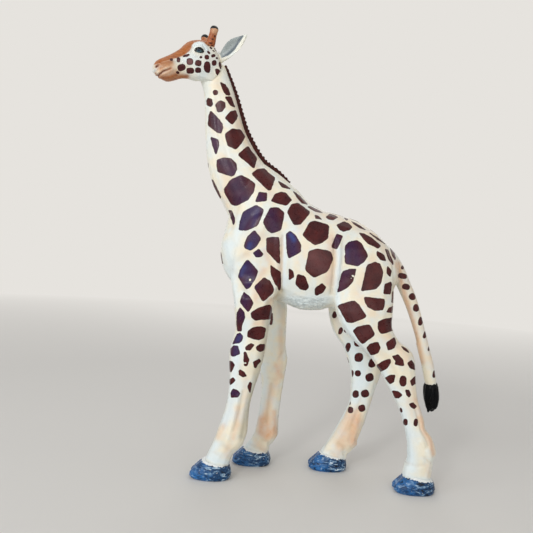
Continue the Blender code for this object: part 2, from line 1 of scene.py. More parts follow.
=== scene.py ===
import math

import bmesh
import bpy
import numpy as np
from mathutils import Matrix, Vector
from mathutils.bvhtree import BVHTree


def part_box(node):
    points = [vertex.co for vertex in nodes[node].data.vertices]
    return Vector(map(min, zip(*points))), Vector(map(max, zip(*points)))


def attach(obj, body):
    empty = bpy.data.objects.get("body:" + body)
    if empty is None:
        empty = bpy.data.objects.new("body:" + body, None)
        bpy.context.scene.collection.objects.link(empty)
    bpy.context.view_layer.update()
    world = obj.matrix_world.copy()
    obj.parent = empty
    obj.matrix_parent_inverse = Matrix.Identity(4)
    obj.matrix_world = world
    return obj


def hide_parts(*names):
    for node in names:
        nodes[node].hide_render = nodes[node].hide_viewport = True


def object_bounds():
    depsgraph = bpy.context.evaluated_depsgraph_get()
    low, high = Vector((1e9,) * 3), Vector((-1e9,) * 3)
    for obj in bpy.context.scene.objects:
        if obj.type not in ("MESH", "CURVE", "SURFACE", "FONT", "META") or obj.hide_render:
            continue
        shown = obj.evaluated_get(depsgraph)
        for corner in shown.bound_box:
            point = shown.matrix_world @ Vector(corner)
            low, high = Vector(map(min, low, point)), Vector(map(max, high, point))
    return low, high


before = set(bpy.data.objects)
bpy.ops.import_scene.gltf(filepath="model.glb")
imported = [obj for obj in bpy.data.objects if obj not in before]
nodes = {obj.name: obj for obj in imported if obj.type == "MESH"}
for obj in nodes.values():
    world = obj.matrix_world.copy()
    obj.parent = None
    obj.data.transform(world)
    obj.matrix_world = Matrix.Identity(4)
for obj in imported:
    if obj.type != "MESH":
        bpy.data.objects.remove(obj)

# Painted PVC giraffe figure. The coat, the paint spots and the sculpted folds are placed as they lie in
# the photograph, in its pixels, and photoPlace turns a point of the model into such a pixel.

cadLow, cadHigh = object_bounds()

camera = {
    "place": (-0.01686, -0.315, 0.1172),    # metres
    "roll": 4.1,                            # degrees, the figure leans to the right in the picture
    "focus": 550.6,                         # focal length in pixels
    "picture": 533.0}                       # picture width in pixels

photoMm = 0.545         # millimetres of the figure to one pixel of the photograph

head = {
    "joint": (-0.0560, 0.0, 0.2280),        # where head and neck meet
    "turn": 27.0}                           # degrees, to the figure's left


def photoPlace(points):
    # Pixels of the photograph for points in metres
    lean = math.radians(camera["roll"])
    x, y, z = (points[:, i] - camera["place"][i] for i in range(3))
    grow = camera["focus"] / y
    half = camera["picture"] / 2
    return np.stack([half + (x * math.cos(lean) + z * math.sin(lean)) * grow,
                     half + (x * math.sin(lean) - z * math.cos(lean)) * grow], 1)


# Coat pattern: corners of the brown patches on the figure's left side
patches = {
    "neck": [
        [(220, 82), (225, 84.5), (228.5, 89), (230, 95), (226, 95), (223, 90)],
        [(225, 97), (231, 97), (235, 107.5), (230, 105.5)],
        [(208, 98), (212, 99.5), (213, 104), (211, 107), (207, 105), (206.5, 101)],
        [(217, 102), (221, 100.5), (225, 103), (225.5, 107), (222, 111.5), (217.5, 112), (215.5, 105)],
        [(211, 111), (217, 117), (222.5, 124), (223, 128), (221, 133), (217, 132.5), (208, 125), (209, 116)],
        [(225, 118), (230, 112), (235.5, 110.5), (237.5, 116), (236, 120), (232, 125)],
        [(211, 137), (218, 139.5), (219, 146), (216, 155), (213, 146)],
        [(225, 134), (232, 129), (241, 130), (245, 137), (241, 144), (236, 149.5), (228, 146), (226, 140)],
        [(237.5, 155), (248, 146), (252, 152), (257, 158), (254, 169), (246, 162)],
        [(217, 160), (224, 157.5), (231, 158.5), (236.5, 164), (237, 169), (234, 175), (231, 176), (218, 172),
         (217, 166)],
        [(204, 161), (208, 163), (208.5, 168), (205, 169)],
        [(251.5, 174), (257, 169.5), (264, 168.5), (269, 173), (275, 178), (271, 190), (268, 190.5)],
        [(224.5, 189), (230, 180), (241, 175), (249, 179), (255, 184), (254, 191), (248, 200), (235, 206),
         (231, 204), (225, 193)],
        [(208, 178), (213, 180), (217, 188), (221, 197), (220, 199), (213, 190)],
        [(278, 181), (284, 184), (291, 189), (282, 187.5)],
        [(255, 202), (259, 192), (267, 193), (266.5, 201)],
        [(271, 201), (275, 194), (281, 192), (286, 193), (292, 200), (286, 205.5), (276, 203)],
        [(293, 191), (300, 196), (308, 204.5), (302, 203), (298, 199)]],
    "trunk": [
        [(228.5, 210), (232, 211), (234, 217), (234.5, 222), (233, 225), (231, 218)],
        [(243, 212), (256, 205), (264, 209.5), (258, 225), (247, 230.5), (238.5, 230), (240, 222)],
        [(270, 208), (278, 207.5), (284.5, 213), (281, 230), (272, 233), (267, 230), (263, 222)],
        [(287, 212), (292, 204), (298, 203), (310.5, 212), (301, 224), (294, 225)],
        [(307.5, 207), (310, 206), (316, 209), (323, 213), (316, 211.5)],
        [(315, 215), (318, 216), (322, 219.5), (315.5, 218.5)],
        [(326, 217), (330, 214), (338, 217), (333, 220), (329, 219.5)],
        [(302.5, 235), (310, 222), (315, 221), (329, 225), (328, 238), (322, 243), (315, 245), (309, 241)],
        [(336.5, 225), (344, 221.5), (348, 223), (352, 227), (350, 230), (343, 231.5), (340, 230)],
        [(344, 218), (348, 219), (347, 220.5)],
        [(351, 221), (358, 224.5), (366, 230), (359, 227.5), (354, 224)],
        [(244, 246), (247, 237), (254.5, 230), (261, 239), (256, 247), (250, 250.5), (245, 248)],
        [(253, 253), (259, 249), (263, 254), (261, 257), (256, 257)],
        [(266.5, 238), (273, 237), (279, 237.5), (280, 264), (277, 262), (266.5, 251)],
        [(286, 234), (290, 231), (296, 236), (301, 245), (300.5, 252), (289, 258.5), (287, 252)],
        [(331.5, 247), (336.5, 234), (343, 236), (337, 249)],
        [(309, 251), (316, 249), (325, 250), (331, 252), (333.5, 259), (327, 272), (314, 277.5), (305, 270)],
        [(247.5, 259), (258, 271), (256, 277), (250, 287.5), (246, 289), (238, 277), (240, 270)],
        [(270.5, 265), (276, 269), (280.5, 272), (280.5, 287), (279.5, 291), (274, 282), (271, 274)],
        [(254, 287), (264, 277.5), (270, 281), (274, 289), (273, 293), (263, 302)],
        [(289, 268.5), (293, 271), (294, 277), (289, 280)],
        [(295.5, 284), (297.5, 274), (305, 276), (309, 287), (306, 290.5), (300, 289)],
        [(315, 288), (322, 283), (326, 287), (323, 292), (317, 295), (315, 294.5)],
        [(218, 250), (221, 252), (222, 258), (223, 264), (219, 260)]],
    "haunch": [
        [(345, 246), (349, 242), (357, 240), (362, 244), (368, 256), (364, 262), (358, 266), (345, 263.5)],
        [(359, 233), (364, 233.5), (372, 238), (381, 246), (378, 248.5), (367, 243)],
        [(369, 232.5), (378, 238), (386, 244.5), (378, 240)],
        [(377, 251), (384, 255), (386, 261), (381, 260), (377, 256)],
        [(385, 249), (388, 250), (393, 262), (393, 265), (389, 260)],
        [(390, 248), (394, 251), (396, 258), (395, 260), (392, 255)],
        [(342, 272), (350, 269), (356, 269), (355, 274), (353, 281), (347, 288), (337.5, 292.5)],
        [(367, 265), (375, 262), (380, 264), (383, 272), (381, 283), (376, 289), (361, 291), (363, 283)],
        [(387.5, 266), (391.5, 271), (390.5, 277), (386.5, 273)],
        [(385, 284), (391, 282), (392, 285), (391, 294), (383.5, 294)],
        [(364, 297), (384, 299), (385, 302), (383, 310), (375, 310.5), (368, 307), (365.5, 303)],
        [(394, 306), (393, 313), (386.5, 312), (389, 308)],
        [(338.5, 305), (354, 300.5), (359, 305), (367, 317), (352, 323), (347, 322), (344, 317)],
        [(353, 331), (357, 327), (370, 324.5), (375, 335), (363, 344), (360, 342)],
        [(378, 322), (383, 319), (394, 317.5), (394, 330), (381, 334), (378, 329)],
        [(366.5, 348), (370, 344), (378, 342), (380.5, 348), (378, 353), (371, 355)],
        [(386, 343), (394, 337), (396, 344), (394, 348), (388, 350.5)],
        [(401, 346), (406, 349), (409, 353), (403, 350)],
        [(377, 365), (383, 361), (390, 359), (391, 363), (387, 368), (380, 372)],
        [(395, 355.5), (398, 354.5), (403, 360), (404, 366), (395, 364.5), (395.5, 361), (392, 356)],
        [(407, 363), (411, 360), (415, 366), (415, 370), (410, 368)],
        [(385, 378), (390, 375), (395, 375), (394, 382), (390, 384)],
        [(392, 391), (398, 391), (402, 395), (399, 398), (395, 398)],
        [(405.5, 390), (409, 390), (411, 395), (409, 397.5), (406.5, 395)],
        [(409, 404), (413, 402.5), (416.5, 406), (415, 409.5), (411, 407)],
        [(410, 381), (415, 376), (417, 380), (415, 384), (412, 386)],
        [(393, 291), (396, 294), (395, 303), (392, 302)]],
    "foreleg": [
        [(244, 292), (249, 296), (253.5, 303), (251, 308), (248, 312), (240, 302), (242, 296)],
        [(240, 307.5), (244, 312), (245, 317), (242, 325), (241.5, 331), (237.5, 331), (236.5, 322), (237, 313)],
        [(251, 313), (258, 308), (270, 304.5), (272, 308), (271, 319), (262, 319.5), (255, 320.5), (251.5, 317)],
        [(237, 334), (240, 333), (243, 336), (242, 341), (239, 343), (232.5, 344)],
        [(248, 331), (253, 327.5), (260, 326.5), (266, 328), (264, 338), (258, 340), (247.5, 337)],
        [(231, 349), (234, 345.5), (238, 346), (240, 354), (233, 356.5), (231, 355)],
        [(245.5, 347), (251, 343), (254, 345), (250, 350), (246, 350)],
        [(256, 347), (260, 344), (265, 344.5), (264, 350), (260, 352), (257, 350)],
        [(244, 352), (246, 352), (249, 360), (247, 366), (244, 366)],
        [(229, 361), (233, 361.5), (235, 365), (231, 372.5), (229, 370)],
        [(253, 362), (259, 359), (261, 361), (256, 368), (254, 367)],
        [(238.5, 371), (240, 369.5), (244, 372), (246.5, 376), (243, 377), (239, 375)],
        [(229, 380), (233, 377.5), (235.5, 380), (233, 383), (230, 385)],
        [(247.5, 387), (250, 381.5), (252, 384), (250, 393)],
        [(230.5, 393), (233, 389), (238, 390.5), (240, 393.5), (238, 397), (231, 397.5)]]}

# Patches along the spine, in millimetres in the plan
spinePatches = [
    [(-5, -2), (-1, -1.2), (2, -3.2), (0.5, -6.4), (-3.5, -5.6)],
    [(-1.5, 1.4), (3.5, 1.2), (6, 3.8), (3.5, 6.6), (-1, 6)],
    [(4, -1.4), (10.5, -1.2), (13, -4.2), (9.5, -7), (4.2, -6.2)],
    [(8, 1.6), (13.5, 1.2), (16.5, 3.2), (15, 6.8), (9.5, 6.6)],
    [(15, -2), (19.5, -1.2), (24, -2.2), (24.5, -5.8), (19, -7), (15.2, -5.6)],
    [(18.5, 1.4), (24, 1.2), (26.5, 4.2), (22.5, 7), (18.6, 5.8)],
    [(26.5, -1.4), (32, -1.2), (35, -4), (32.5, -6.8), (27.5, -6.4)],
    [(28.5, 1.8), (33.5, 1.2), (37.5, 2.4), (37, 6.4), (31, 6.9)],
    [(37, -2.2), (41, -1.2), (45.5, -2), (45.8, -5.6), (40.5, -6.8)],
    [(39.5, 1.4), (44.5, 1.2), (47.5, 3.6), (45, 6.4), (40, 6)]]

# Round spots: middle, half width, half height, turn in degrees
spots = {
    "coat": [
        (403, 381, 3.3, 5.2, 0), (405.5, 422, 2.2, 3.0, 0), (416, 422.5, 2.1, 3.5, -10), (401, 410, 0.9, 2.2, 15),
        (403, 267, 1.2, 2.2, -30), (402.5, 276, 4.4, 2.5, -10), (406, 286.8, 3.8, 2.8, -15),
        (412.5, 296.6, 3.3, 3.2, -30),
        (416.5, 307.8, 3.0, 3.6, -20), (420.8, 321, 2.4, 4.2, -18), (425, 334.8, 1.6, 3.6, -18),
        (429.3, 348, 1.0, 3.0, -15), (434.3, 374, 1.3, 3.8, -8), (225.3, 63.3, 0.9, 0.8, 0)],
    "ring": [(215.5, 92.5, 2.3, 2.3, 0)],
    # Painted highlights: small gaps left in the patches, in the cream, where glints fall
    "glintGap": [(250, 280, 1.6, 1.6, 0), (353, 276, 2.0, 1.3, -40), (351, 278, 1.2, 1.0, 0),
             (245.3, 363, 1.5, 1.3, 0)],
    "inner": [
        (334.6, 315, 2.0, 3.2, -20), (347.0, 329.0, 1.9, 3.4, -30), (340.6, 330.9, 1.8, 3.4, -20),
        (357.9, 342, 3.8, 4.4, 0),
        (347.9, 347.4, 2.3, 4.9, -18), (358.8, 357.3, 4.0, 4.3, 0), (372.4, 363, 3.4, 4.6, -30),
        (351.4, 373.6, 1.9, 3.4, 0),
        (357.9, 373.3, 2.8, 2.8, 0), (369.6, 377.4, 4.0, 3.8, 20), (355.7, 394, 2.9, 3.4, 0),
        (365, 393.6, 3.9, 3.6, 20),
        (349.8, 390, 1.7, 4.2, 10), (348.4, 401, 1.9, 4.0, 15), (350.7, 410, 2.4, 3.0, 0),
        (361.9, 408.3, 3.3, 3.2, 20),
        (270.9, 318.5, 1.8, 6.2, 0)],
    "head": [
        (171.4, 59.7, 1.3, 1.1, 0), (178.5, 59.9, 1.6, 2.1, 0), (186.1, 55.7, 3.4, 0.9, 16),
        (189.8, 61.6, 3.3, 3.2, 0),
        (198.3, 63.0, 3.2, 2.8, -10), (201, 57.2, 1.2, 1.2, 0), (206.8, 57.2, 2.1, 2.2, 0),
        (213.3, 55.7, 1.8, 1.5, 25),
        (214.1, 62.9, 2.2, 2.6, 0), (217.1, 58.1, 1.0, 0.9, 0), (220, 65.1, 1.2, 3.3, 0), (207, 66.8, 3.0, 5.1, 0),
        (216.5, 70.7, 1.8, 2.4, 0), (181.6, 67.5, 3.8, 3.4, 15), (190.2, 70.7, 3.7, 2.9, 0),
        (198.1, 70.3, 2.9, 2.6, 0),
        (177.7, 72.6, 1.5, 1.2, -35), (208.5, 52.4, 1.8, 1.0, -48), (214.7, 36.2, 0.8, 1.1, 0),
        (212.8, 39.2, 0.9, 1.0, 0),
        (210.8, 43.1, 2.0, 0.7, 0), (211.8, 45.4, 1.1, 0.6, -20), (208.1, 45.7, 0.7, 0.7, 0),
        (210.8, 48.0, 1.5, 0.7, -35),
        (213.7, 51.0, 1.5, 0.7, -38), (215.5, 49.4, 2.2, 0.8, -50)],
    "paler": [(189.8, 61.6, 3.3, 3.2, 0), (178.5, 60.4, 1.0, 1.2, 0)]}

# Airbrushed shading and painted light: the line of a pass of the airbrush, its reach in pixels and its strength
shading = {
    "warm": [
        ([(281, 240), (280.5, 262), (279, 286)], 2.5, 0.40), ([(331, 238), (331, 258), (329, 282)], 5.0, 0.55),
        ([(264, 270), (259, 280), (256, 298)], 4.0, 0.45), ([(265, 252), (272, 266)], 4.0, 0.35),
        ([(271, 300), (262, 323), (256, 324)], 3.5, 0.45), ([(300, 262), (306, 248)], 6.0, 0.12),
        ([(262, 236), (246, 254)], 5.0, 0.22), ([(266, 340), (262, 352)], 3.0, 0.22),
        ([(240, 128), (249, 148), (262, 184), (274, 198)], 5.0, 0.30),
        ([(222, 158), (226, 182), (226, 206)], 5.0, 0.22),
        ([(216, 84), (232, 96), (240, 122)], 5.0, 0.22), ([(212, 116), (214, 136)], 4.0, 0.15),
        ([(318, 212), (344, 220), (376, 236), (392, 262)], 5.0, 0.28),
        ([(372, 259), (358, 294), (374, 314)], 5.0, 0.24),
        ([(386, 336), (400, 350), (408, 362)], 5.0, 0.35), ([(298, 200), (300, 226)], 5.0, 0.22),
        ([(238, 408), (237, 424), (233, 438)], 3.0, 0.40), ([(223, 426), (219, 437)], 3.5, 0.40),
        ([(246, 380), (244, 410), (240, 428)], 3.0, 0.20), ([(229, 446), (227, 454)], 4.0, 0.28),
        ([(420, 418), (425, 430), (431, 443), (433, 454)], 2.6, 0.75), ([(416, 400), (420, 414)], 3.0, 0.45),
        ([(428, 466), (429, 476)], 3.0, 0.25), ([(411, 383), (414, 398)], 4.0, 0.25),
        ([(408, 402), (413, 416)], 3.0, 0.20),
        ([(398, 264), (401.5, 282), (406, 300), (411, 316), (415.5, 332), (419.5, 348), (422, 362)], 3.0, 0.80),
        ([(405, 262), (412, 286), (421, 312), (428, 340), (433, 366)], 4.0, 0.30)],
    # Painted light in part: white paint, and blue-white where the light falls on the sides turned to it
    "cool": [
        ([(228, 246), (230, 258), (232, 276)], 7.0, 0.85), ([(240, 226), (237, 242)], 5.0, 0.60),
        ([(234, 288), (236, 304)], 4.5, 0.60), ([(288, 299), (302, 303), (322, 300)], 9.0, 0.90),
        ([(285, 240), (285, 258), (284, 276), (284, 290)], 2.6, 0.75), ([(291, 262), (288, 282)], 4.0, 0.50),
        ([(245, 321), (243, 340), (236, 358)], 4.5, 0.70), ([(237, 345), (236, 366), (232, 388)], 6.0, 0.85),
        ([(231, 400), (228, 414), (224, 422)], 5.0, 0.85), ([(240, 384), (238, 400)], 4.0, 0.55),
        ([(216, 444), (211, 452), (216, 457)], 5.0, 0.85), ([(206, 456), (214, 461), (229, 463)], 3.0, 0.90),
        ([(339, 250), (339, 268), (337, 288), (339, 304)], 3.0, 0.90),
        ([(341, 310), (346, 326), (358, 346)], 4.0, 0.80),
        ([(354, 330), (362, 346), (372, 358)], 4.0, 0.65), ([(384, 372), (390, 386), (398, 400)], 5.0, 0.75),
        ([(402, 384), (404, 400)], 4.0, 0.45), ([(402, 412), (407, 430), (410, 450), (412, 468)], 7.0, 0.92),
        ([(402, 474), (415, 479), (430, 480)], 3.0, 0.80), ([(409, 456), (406, 470)], 5.0, 0.70),
        ([(208, 104), (209, 130), (211, 156)], 3.5, 0.55), ([(250, 204), (258, 212)], 4.0, 0.30),
        ([(282, 244), (286, 232), (296, 228)], 3.0, 0.50)],
    # Painted shade: grey-beige on the sides turned away from the light
    "dull": [
        ([(268, 302), (267, 326), (263, 350), (257, 374)], 2.6, 0.50),
        ([(256, 378), (250, 402), (244, 424), (241, 436)], 3.2, 0.62),
        ([(283, 290), (281, 298), (276, 304)], 3.0, 0.45), ([(262, 356), (254, 372)], 4.0, 0.25)],
    "innerWarm": [
        ([(281, 330), (281, 350), (279, 368), (276, 384)], 3.5, 0.36), ([(276, 366), (281, 376)], 3.0, 0.45),
        ([(272, 388), (269, 404), (264, 420)], 4.5, 0.42),
        ([(262, 420), (261, 432), (267, 437), (273, 430)], 4.0, 0.80), ([(267, 418), (268, 434)], 5.0, 0.65),
        ([(274, 412), (276, 436)], 3.0, 0.60), ([(258, 444), (264, 450)], 4.0, 0.35),
        ([(280, 306), (284, 322)], 4.0, 0.25),
        ([(350, 414), (346, 428), (341, 443)], 7.0, 0.55), ([(355, 420), (353, 432), (352, 441)], 5.5, 0.80),
        ([(358, 412), (357, 424)], 4.0, 0.60), ([(340, 448), (336, 456)], 5.0, 0.30),
        ([(336, 318), (341, 330)], 4.0, 0.20)],
    # Painted light in part on the legs' inner sides: white paint, and blue-white where the light falls on them
    "innerCool": [
        ([(352, 344), (360, 362), (362, 382)], 8.0, 0.92), ([(360, 388), (357, 400)], 7.0, 0.80),
        ([(350, 352), (354, 376), (350, 398)], 6.0, 0.60), ([(338, 316), (346, 338)], 5.0, 0.55),
        ([(331, 428), (323, 441), (317, 452)], 5.0, 0.92), ([(320, 452), (330, 459), (344, 460)], 2.4, 0.80),
        ([(272, 322), (269, 345), (265, 362)], 4.5, 0.35),
        ([(263, 366), (266, 380), (264, 402), (260, 414)], 3.6, 0.70), ([(250, 442), (245, 448)], 4.0, 0.80),
        ([(242, 449), (256, 454), (267, 456)], 2.4, 0.85),
        ([(282, 300), (279, 316)], 4.0, 0.55), ([(261, 426), (258, 434)], 1.8, 0.30)],
    # Orange-peach paint on the muzzle, with painted highlights on the upper muzzle and along the lips
    "headWarm": [
        ([(160, 69), (165, 66), (171, 64.5)], 3.6, 0.97), ([(161, 64), (168, 62)], 3.0, 0.90),
        ([(160, 76.5), (165, 74.0), (171, 71.2)], 2.2, 0.92), ([(163, 78), (172, 77)], 3.4, 0.85),
        ([(175, 74), (180, 77), (186, 77)], 3.4, 0.70), ([(172, 68), (177, 73)], 3.0, 0.55)],
    "headBrown": [
        # The first pass is a painted shadow under the upper lip, the rest brown paint
        ([(156.6, 75.6), (155.0, 73.8)], 1.7, 0.97),
        ([(159.6, 73.6), (163, 71.2), (168, 69.5), (171, 68.2)], 1.2, 0.85),
        ([(158.5, 77.8), (163.5, 80.2), (169, 81.0), (174, 79.8), (180, 78.2), (185, 77.8)], 2.5, 0.97),
        ([(162.5, 78.0), (169, 77.4), (176, 75.4)], 3.2, 0.90), ([(181, 76.6), (187, 76.8)], 2.4, 0.80),
        ([(157.5, 64.6), (161, 63.4), (166, 62.6), (171, 61.6)], 2.8, 0.78),
        ([(160.5, 68.8), (165, 66.0), (169, 64.6)], 1.4, 0.40)],
    # White paint, and painted highlights on the brow over the eye and on the nose tip
    "headCool": [
        ([(194, 46), (199, 43.6), (204, 46), (207, 51)], 3.2, 0.90), ([(186, 60), (193, 57), (203, 57)], 4.0, 0.60),
        ([(153.6, 71.0), (155.8, 69.4), (158.0, 68.2)], 1.6, 0.80), ([(190, 77), (200, 77), (210, 74)], 4.0, 0.45),
        ([(210, 54), (213, 66)], 5.0, 0.45), ([(196, 66), (204, 74)], 4.0, 0.45)]}

# Small pulls on the outline: place, reach, and the way right and down, in pixels
pulls = {
    "body": [
        (427, 429, 6.5, -2.4, 0.4), (346.5, 453, 3.0, -4.4, 0.0), (354.5, 444, 3.0, 2.0, 0.6),
        (329, 309, 5.0, 0.0, -1.4), (270.5, 445, 2.6, -2.2, 0.0),
        (277, 434, 3.0, 0.5, 0.0), (233, 449, 2.4, -1.0, 0.0), (434, 462, 2.6, -1.2, 0.0),
        (260, 366, 3.0, -0.8, 0.0)],
    "jaw": [(199, 83.5, 5.5, 0.0, -1.6), (189, 80.5, 4.5, 0.0, -0.7)],
    "farJaw": [(198, 82.0, 6.0, 0.0, -3.0), (188, 80.0, 5.0, 0.0, -2.2)],
    "head": [(211.5, 77, 5.0, 2.3, 3.0), (217.5, 75.5, 3.5, 1.6, 1.0), (216.2, 76.4, 2.4, 0.7, 0.8),
             (218, 70, 3.0, 1.2, 0.8), (246, 35, 4.0, 1.2, -1.8), (153, 71, 3.0, 0.4, 0.0)]}

# Sculpted folds: line, reach in pixels, height in millimetres
folds = {
    "outer": [
        ([(282.5, 236), (282, 250), (281.5, 270), (281, 292)], 1.1, -0.75),
        ([(278, 240), (277.5, 262), (277, 286)], 2.4, 0.55),
        ([(287, 240), (286.5, 262), (286, 288)], 2.6, 0.30),
        ([(281, 291), (277, 296), (272, 300)], 1.6, -0.60),
        ([(335, 240), (334.5, 255), (333.5, 275), (331, 294)], 1.7, -0.85),
        ([(339.5, 240), (339, 262), (337, 284), (336, 300), (341, 314)], 2.4, 0.80),
        ([(226, 243), (228, 250), (231, 256)], 7.0, 0.60),
        ([(233, 263), (241, 258), (247, 255)], 3.0, -0.35),
        ([(231, 268), (240, 280), (248, 292)], 3.0, -0.30),
        ([(239, 204), (236, 214), (232, 228)], 2.5, -0.35),
        ([(216, 96), (219, 130), (226, 160), (236, 190)], 5.0, -0.35),
        ([(228, 100), (236, 135), (250, 165), (268, 186)], 5.0, 0.30),
        ([(212, 90), (212, 130), (215, 165), (226, 196)], 4.0, 0.30),
        ([(246, 232), (262, 236), (280, 232)], 5.0, -0.25),
        ([(300, 262), (312, 284), (316, 296)], 7.0, 0.40),
        ([(372, 300), (380, 320), (392, 340)], 5.0, 0.35),
        ([(358, 322), (374, 344), (390, 362)], 4.0, -0.30),
        ([(372, 356), (380, 366), (390, 372)], 3.0, 0.35),
        ([(243, 392), (240, 410), (234, 430)], 1.6, -0.40),
        ([(238, 396), (235, 412), (232, 424), (228, 440)], 1.5, 0.50),
        ([(232, 396), (228, 414), (222, 432)], 3.0, -0.20),
        ([(250, 345), (246, 358)], 7.0, 0.45),
        ([(234, 348), (233, 366)], 3.5, 0.35),
        ([(242, 366), (240, 376)], 2.5, -0.25),
        ([(222, 434), (219, 441)], 3.5, 0.45), ([(236, 437), (239, 443)], 4.0, 0.50),
        ([(224, 446), (232, 452)], 2.2, -0.35), ([(212, 452), (220, 456)], 2.0, -0.20),
        ([(414, 404), (418.5, 420), (423, 431), (428.5, 445)], 1.2, -0.60),
        ([(418, 408), (423, 424), (431, 441)], 2.0, 0.40),
        ([(404, 395), (409, 415), (413, 440)], 3.0, 0.30),
        ([(421.5, 442), (424, 446)], 2.0, 0.55), ([(428, 452), (430, 456)], 2.4, 0.65),
        ([(414, 446), (417, 452)], 3.5, 0.35),
        ([(425, 458), (431, 463)], 1.6, -0.35), ([(404, 462), (416, 466), (424, 465)], 2.0, -0.30),
        ([(404, 352), (412, 362)], 5.0, 0.50), ([(411, 352), (416, 366)], 2.5, -0.30),
        ([(391, 363), (398, 378), (405, 392)], 2.5, -0.30),
        ([(392, 288), (393, 300), (392, 312)], 3.0, -0.35),
        ([(397, 286), (403, 304), (410, 322), (417, 342)], 1.4, -0.40)],
    "inner": [
        ([(275, 358), (279, 366), (278, 374)], 4.5, 0.60), ([(266, 362), (264, 370)], 3.0, 0.50),
        ([(283, 352), (272, 372)], 1.8, -0.30), ([(268, 378), (276, 380)], 1.8, -0.30),
        ([(271, 384), (268, 402), (266, 422)], 1.6, -0.40), ([(264, 384), (261, 406), (257, 424)], 2.2, 0.30),
        ([(275, 388), (273, 410), (270, 424)], 2.2, 0.25),
        ([(272, 428), (274, 436)], 3.0, 0.60), ([(258, 430), (256, 437)], 3.0, 0.40),
        ([(262, 440), (270, 443)], 1.6, -0.40), ([(250, 444), (258, 449), (264, 450)], 1.4, -0.25),
        ([(252, 448), (262, 453)], 1.4, 0.20),
        ([(363, 392), (357, 412), (350, 430)], 2.0, -0.40), ([(352, 398), (347, 420), (336, 438)], 3.0, 0.30),
        ([(359, 416), (355, 432), (353, 441)], 2.2, 0.45), ([(348, 444), (352, 446)], 2.0, 0.55),
        ([(338, 444), (346, 450)], 2.2, -0.40), ([(322, 447), (334, 454)], 2.0, -0.25),
        ([(330, 440), (326, 447)], 3.0, 0.35),
        ([(342, 330), (356, 362)], 6.0, 0.30)],
    "head": [
        ([(157.8, 77.4), (159.6, 74.4), (164.3, 70.9), (168, 69.6), (171, 68.4)], 0.8, -0.42),
        ([(158, 72.6), (162, 69.6), (168, 67.4)], 1.5, 0.30),
        ([(160, 76.2), (165, 73.4), (171, 70.6)], 1.5, 0.30),
        ([(155.3, 67.4), (156.8, 66.2), (158.4, 65.4)], 1.1, -0.60),
        ([(154, 69.4), (157, 69.0), (160, 66.2)], 1.2, 0.28),
        ([(158, 76.8), (163, 78.8), (169, 79.2)], 1.8, 0.20),
        ([(191.5, 47.5), (194.6, 44.8), (199, 43.6), (203.4, 45.0), (206.6, 49.4)], 1.9, 0.45),
        ([(193.4, 50.8), (195.2, 47.8), (198.1, 46.6), (201.2, 47.0), (203.6, 49.2), (204.9, 52.8)], 0.7, 0.28),
        ([(194.2, 52.2), (198, 53.6), (204.2, 54.2)], 0.8, 0.25),
        ([(196.0, 56.0), (203.0, 56.2)], 1.2, -0.16),
        ([(190.4, 52.4), (192.2, 51.0)], 1.4, -0.25),
        ([(189, 54.0), (182, 57.0), (172, 60.5)], 1.8, 0.25),
        ([(190, 66), (178, 70), (172, 74)], 2.6, -0.22),
        ([(172, 64), (180, 62)], 2.4, -0.20),
        ([(192, 76.5), (200, 78.0), (208, 78.0), (214, 74.5), (218, 69)], 2.6, 0.30),
        ([(216.5, 50.0), (219.5, 56.0), (221.0, 62.0)], 1.8, -0.30),
        ([(205, 60), (208, 68), (206, 76)], 3.4, 0.22)]}


def rounded(corners, cuts=2, share=0.10):
    # The same outline with its corners rounded off
    line = np.array(corners, float)
    for _ in range(cuts):
        after = np.roll(line, -1, 0)
        line = np.stack([line + (after - line) * share, after + (line - after) * share], 1).reshape(-1, 2)
    return line


def ovalLine(u, v, halfWidth, halfHeight, turn, corners=16, square=0.8):
    # A brush spot, a little squarer than an ellipse
    a = np.linspace(0, math.tau, corners, endpoint=False)
    x, y = (reach * np.sign(w) * np.abs(w) ** square
            for reach, w in ((halfWidth, np.cos(a)), (halfHeight, np.sin(a))))
    t = math.radians(turn)
    return np.stack([u + x * math.cos(t) + y * math.sin(t), v - x * math.sin(t) + y * math.cos(t)], 1)


def lineDistance(places, a, b):
    run = b - a
    step = np.clip(((places - a) @ run) / max(run @ run, 1e-9), 0, 1)
    return np.sqrt(((places - a - step[:, None] * run) ** 2).sum(1))


def outlineDistance(places, outlines, reach=6.0):
    # How far each place is outside the nearest outline, less than zero inside
    best = np.full(len(places), reach)
    for outline in outlines:
        near = np.nonzero(((places > outline.min(0) - reach) & (places < outline.max(0) + reach)).all(1))[0]
        if not len(near):
            continue
        here = places[near]
        least = np.full(len(near), 1e9)
        inside = np.zeros(len(near), bool)
        for a, b in zip(outline, np.roll(outline, -1, 0)):
            least = np.minimum(least, lineDistance(here, a, b))
            if a[1] != b[1]:
                crosses = (a[1] > here[:, 1]) != (b[1] > here[:, 1])
                inside ^= crosses & (here[:, 0] < (b[0] - a[0]) * (here[:, 1] - a[1]) / (b[1] - a[1]) + a[0])
        least[inside] *= -1
        best[near] = np.minimum(best[near], least)
    return best


def patchDistance(places, outlines):
    return outlineDistance(places, [rounded(corners) for corners in outlines])


def spotDistance(places, name):
    return outlineDistance(places, [ovalLine(*spot) for spot in spots[name]])


def strokeDistance(places, line, far):
    # Which places are nearer to a line of points than about far, and how far they are from it
    line = np.array(line, float)
    near = np.nonzero(((places > line.min(0) - far) & (places < line.max(0) + far)).all(1))[0]
    least = np.full(len(near), 1e9)
    for a, b in zip(line, line[1:] if len(line) > 1 else line):
        least = np.minimum(least, lineDistance(places[near], a, b))
    return near, least


def strokeShares(places, strokes):
    # For each stroke the places near it and their share of it, 1 on its line and fading over its reach
    for line, reach, amount in strokes:
        near, least = strokeDistance(places, line, reach * 3)
        yield near, np.exp(-(least / reach) ** 2), amount


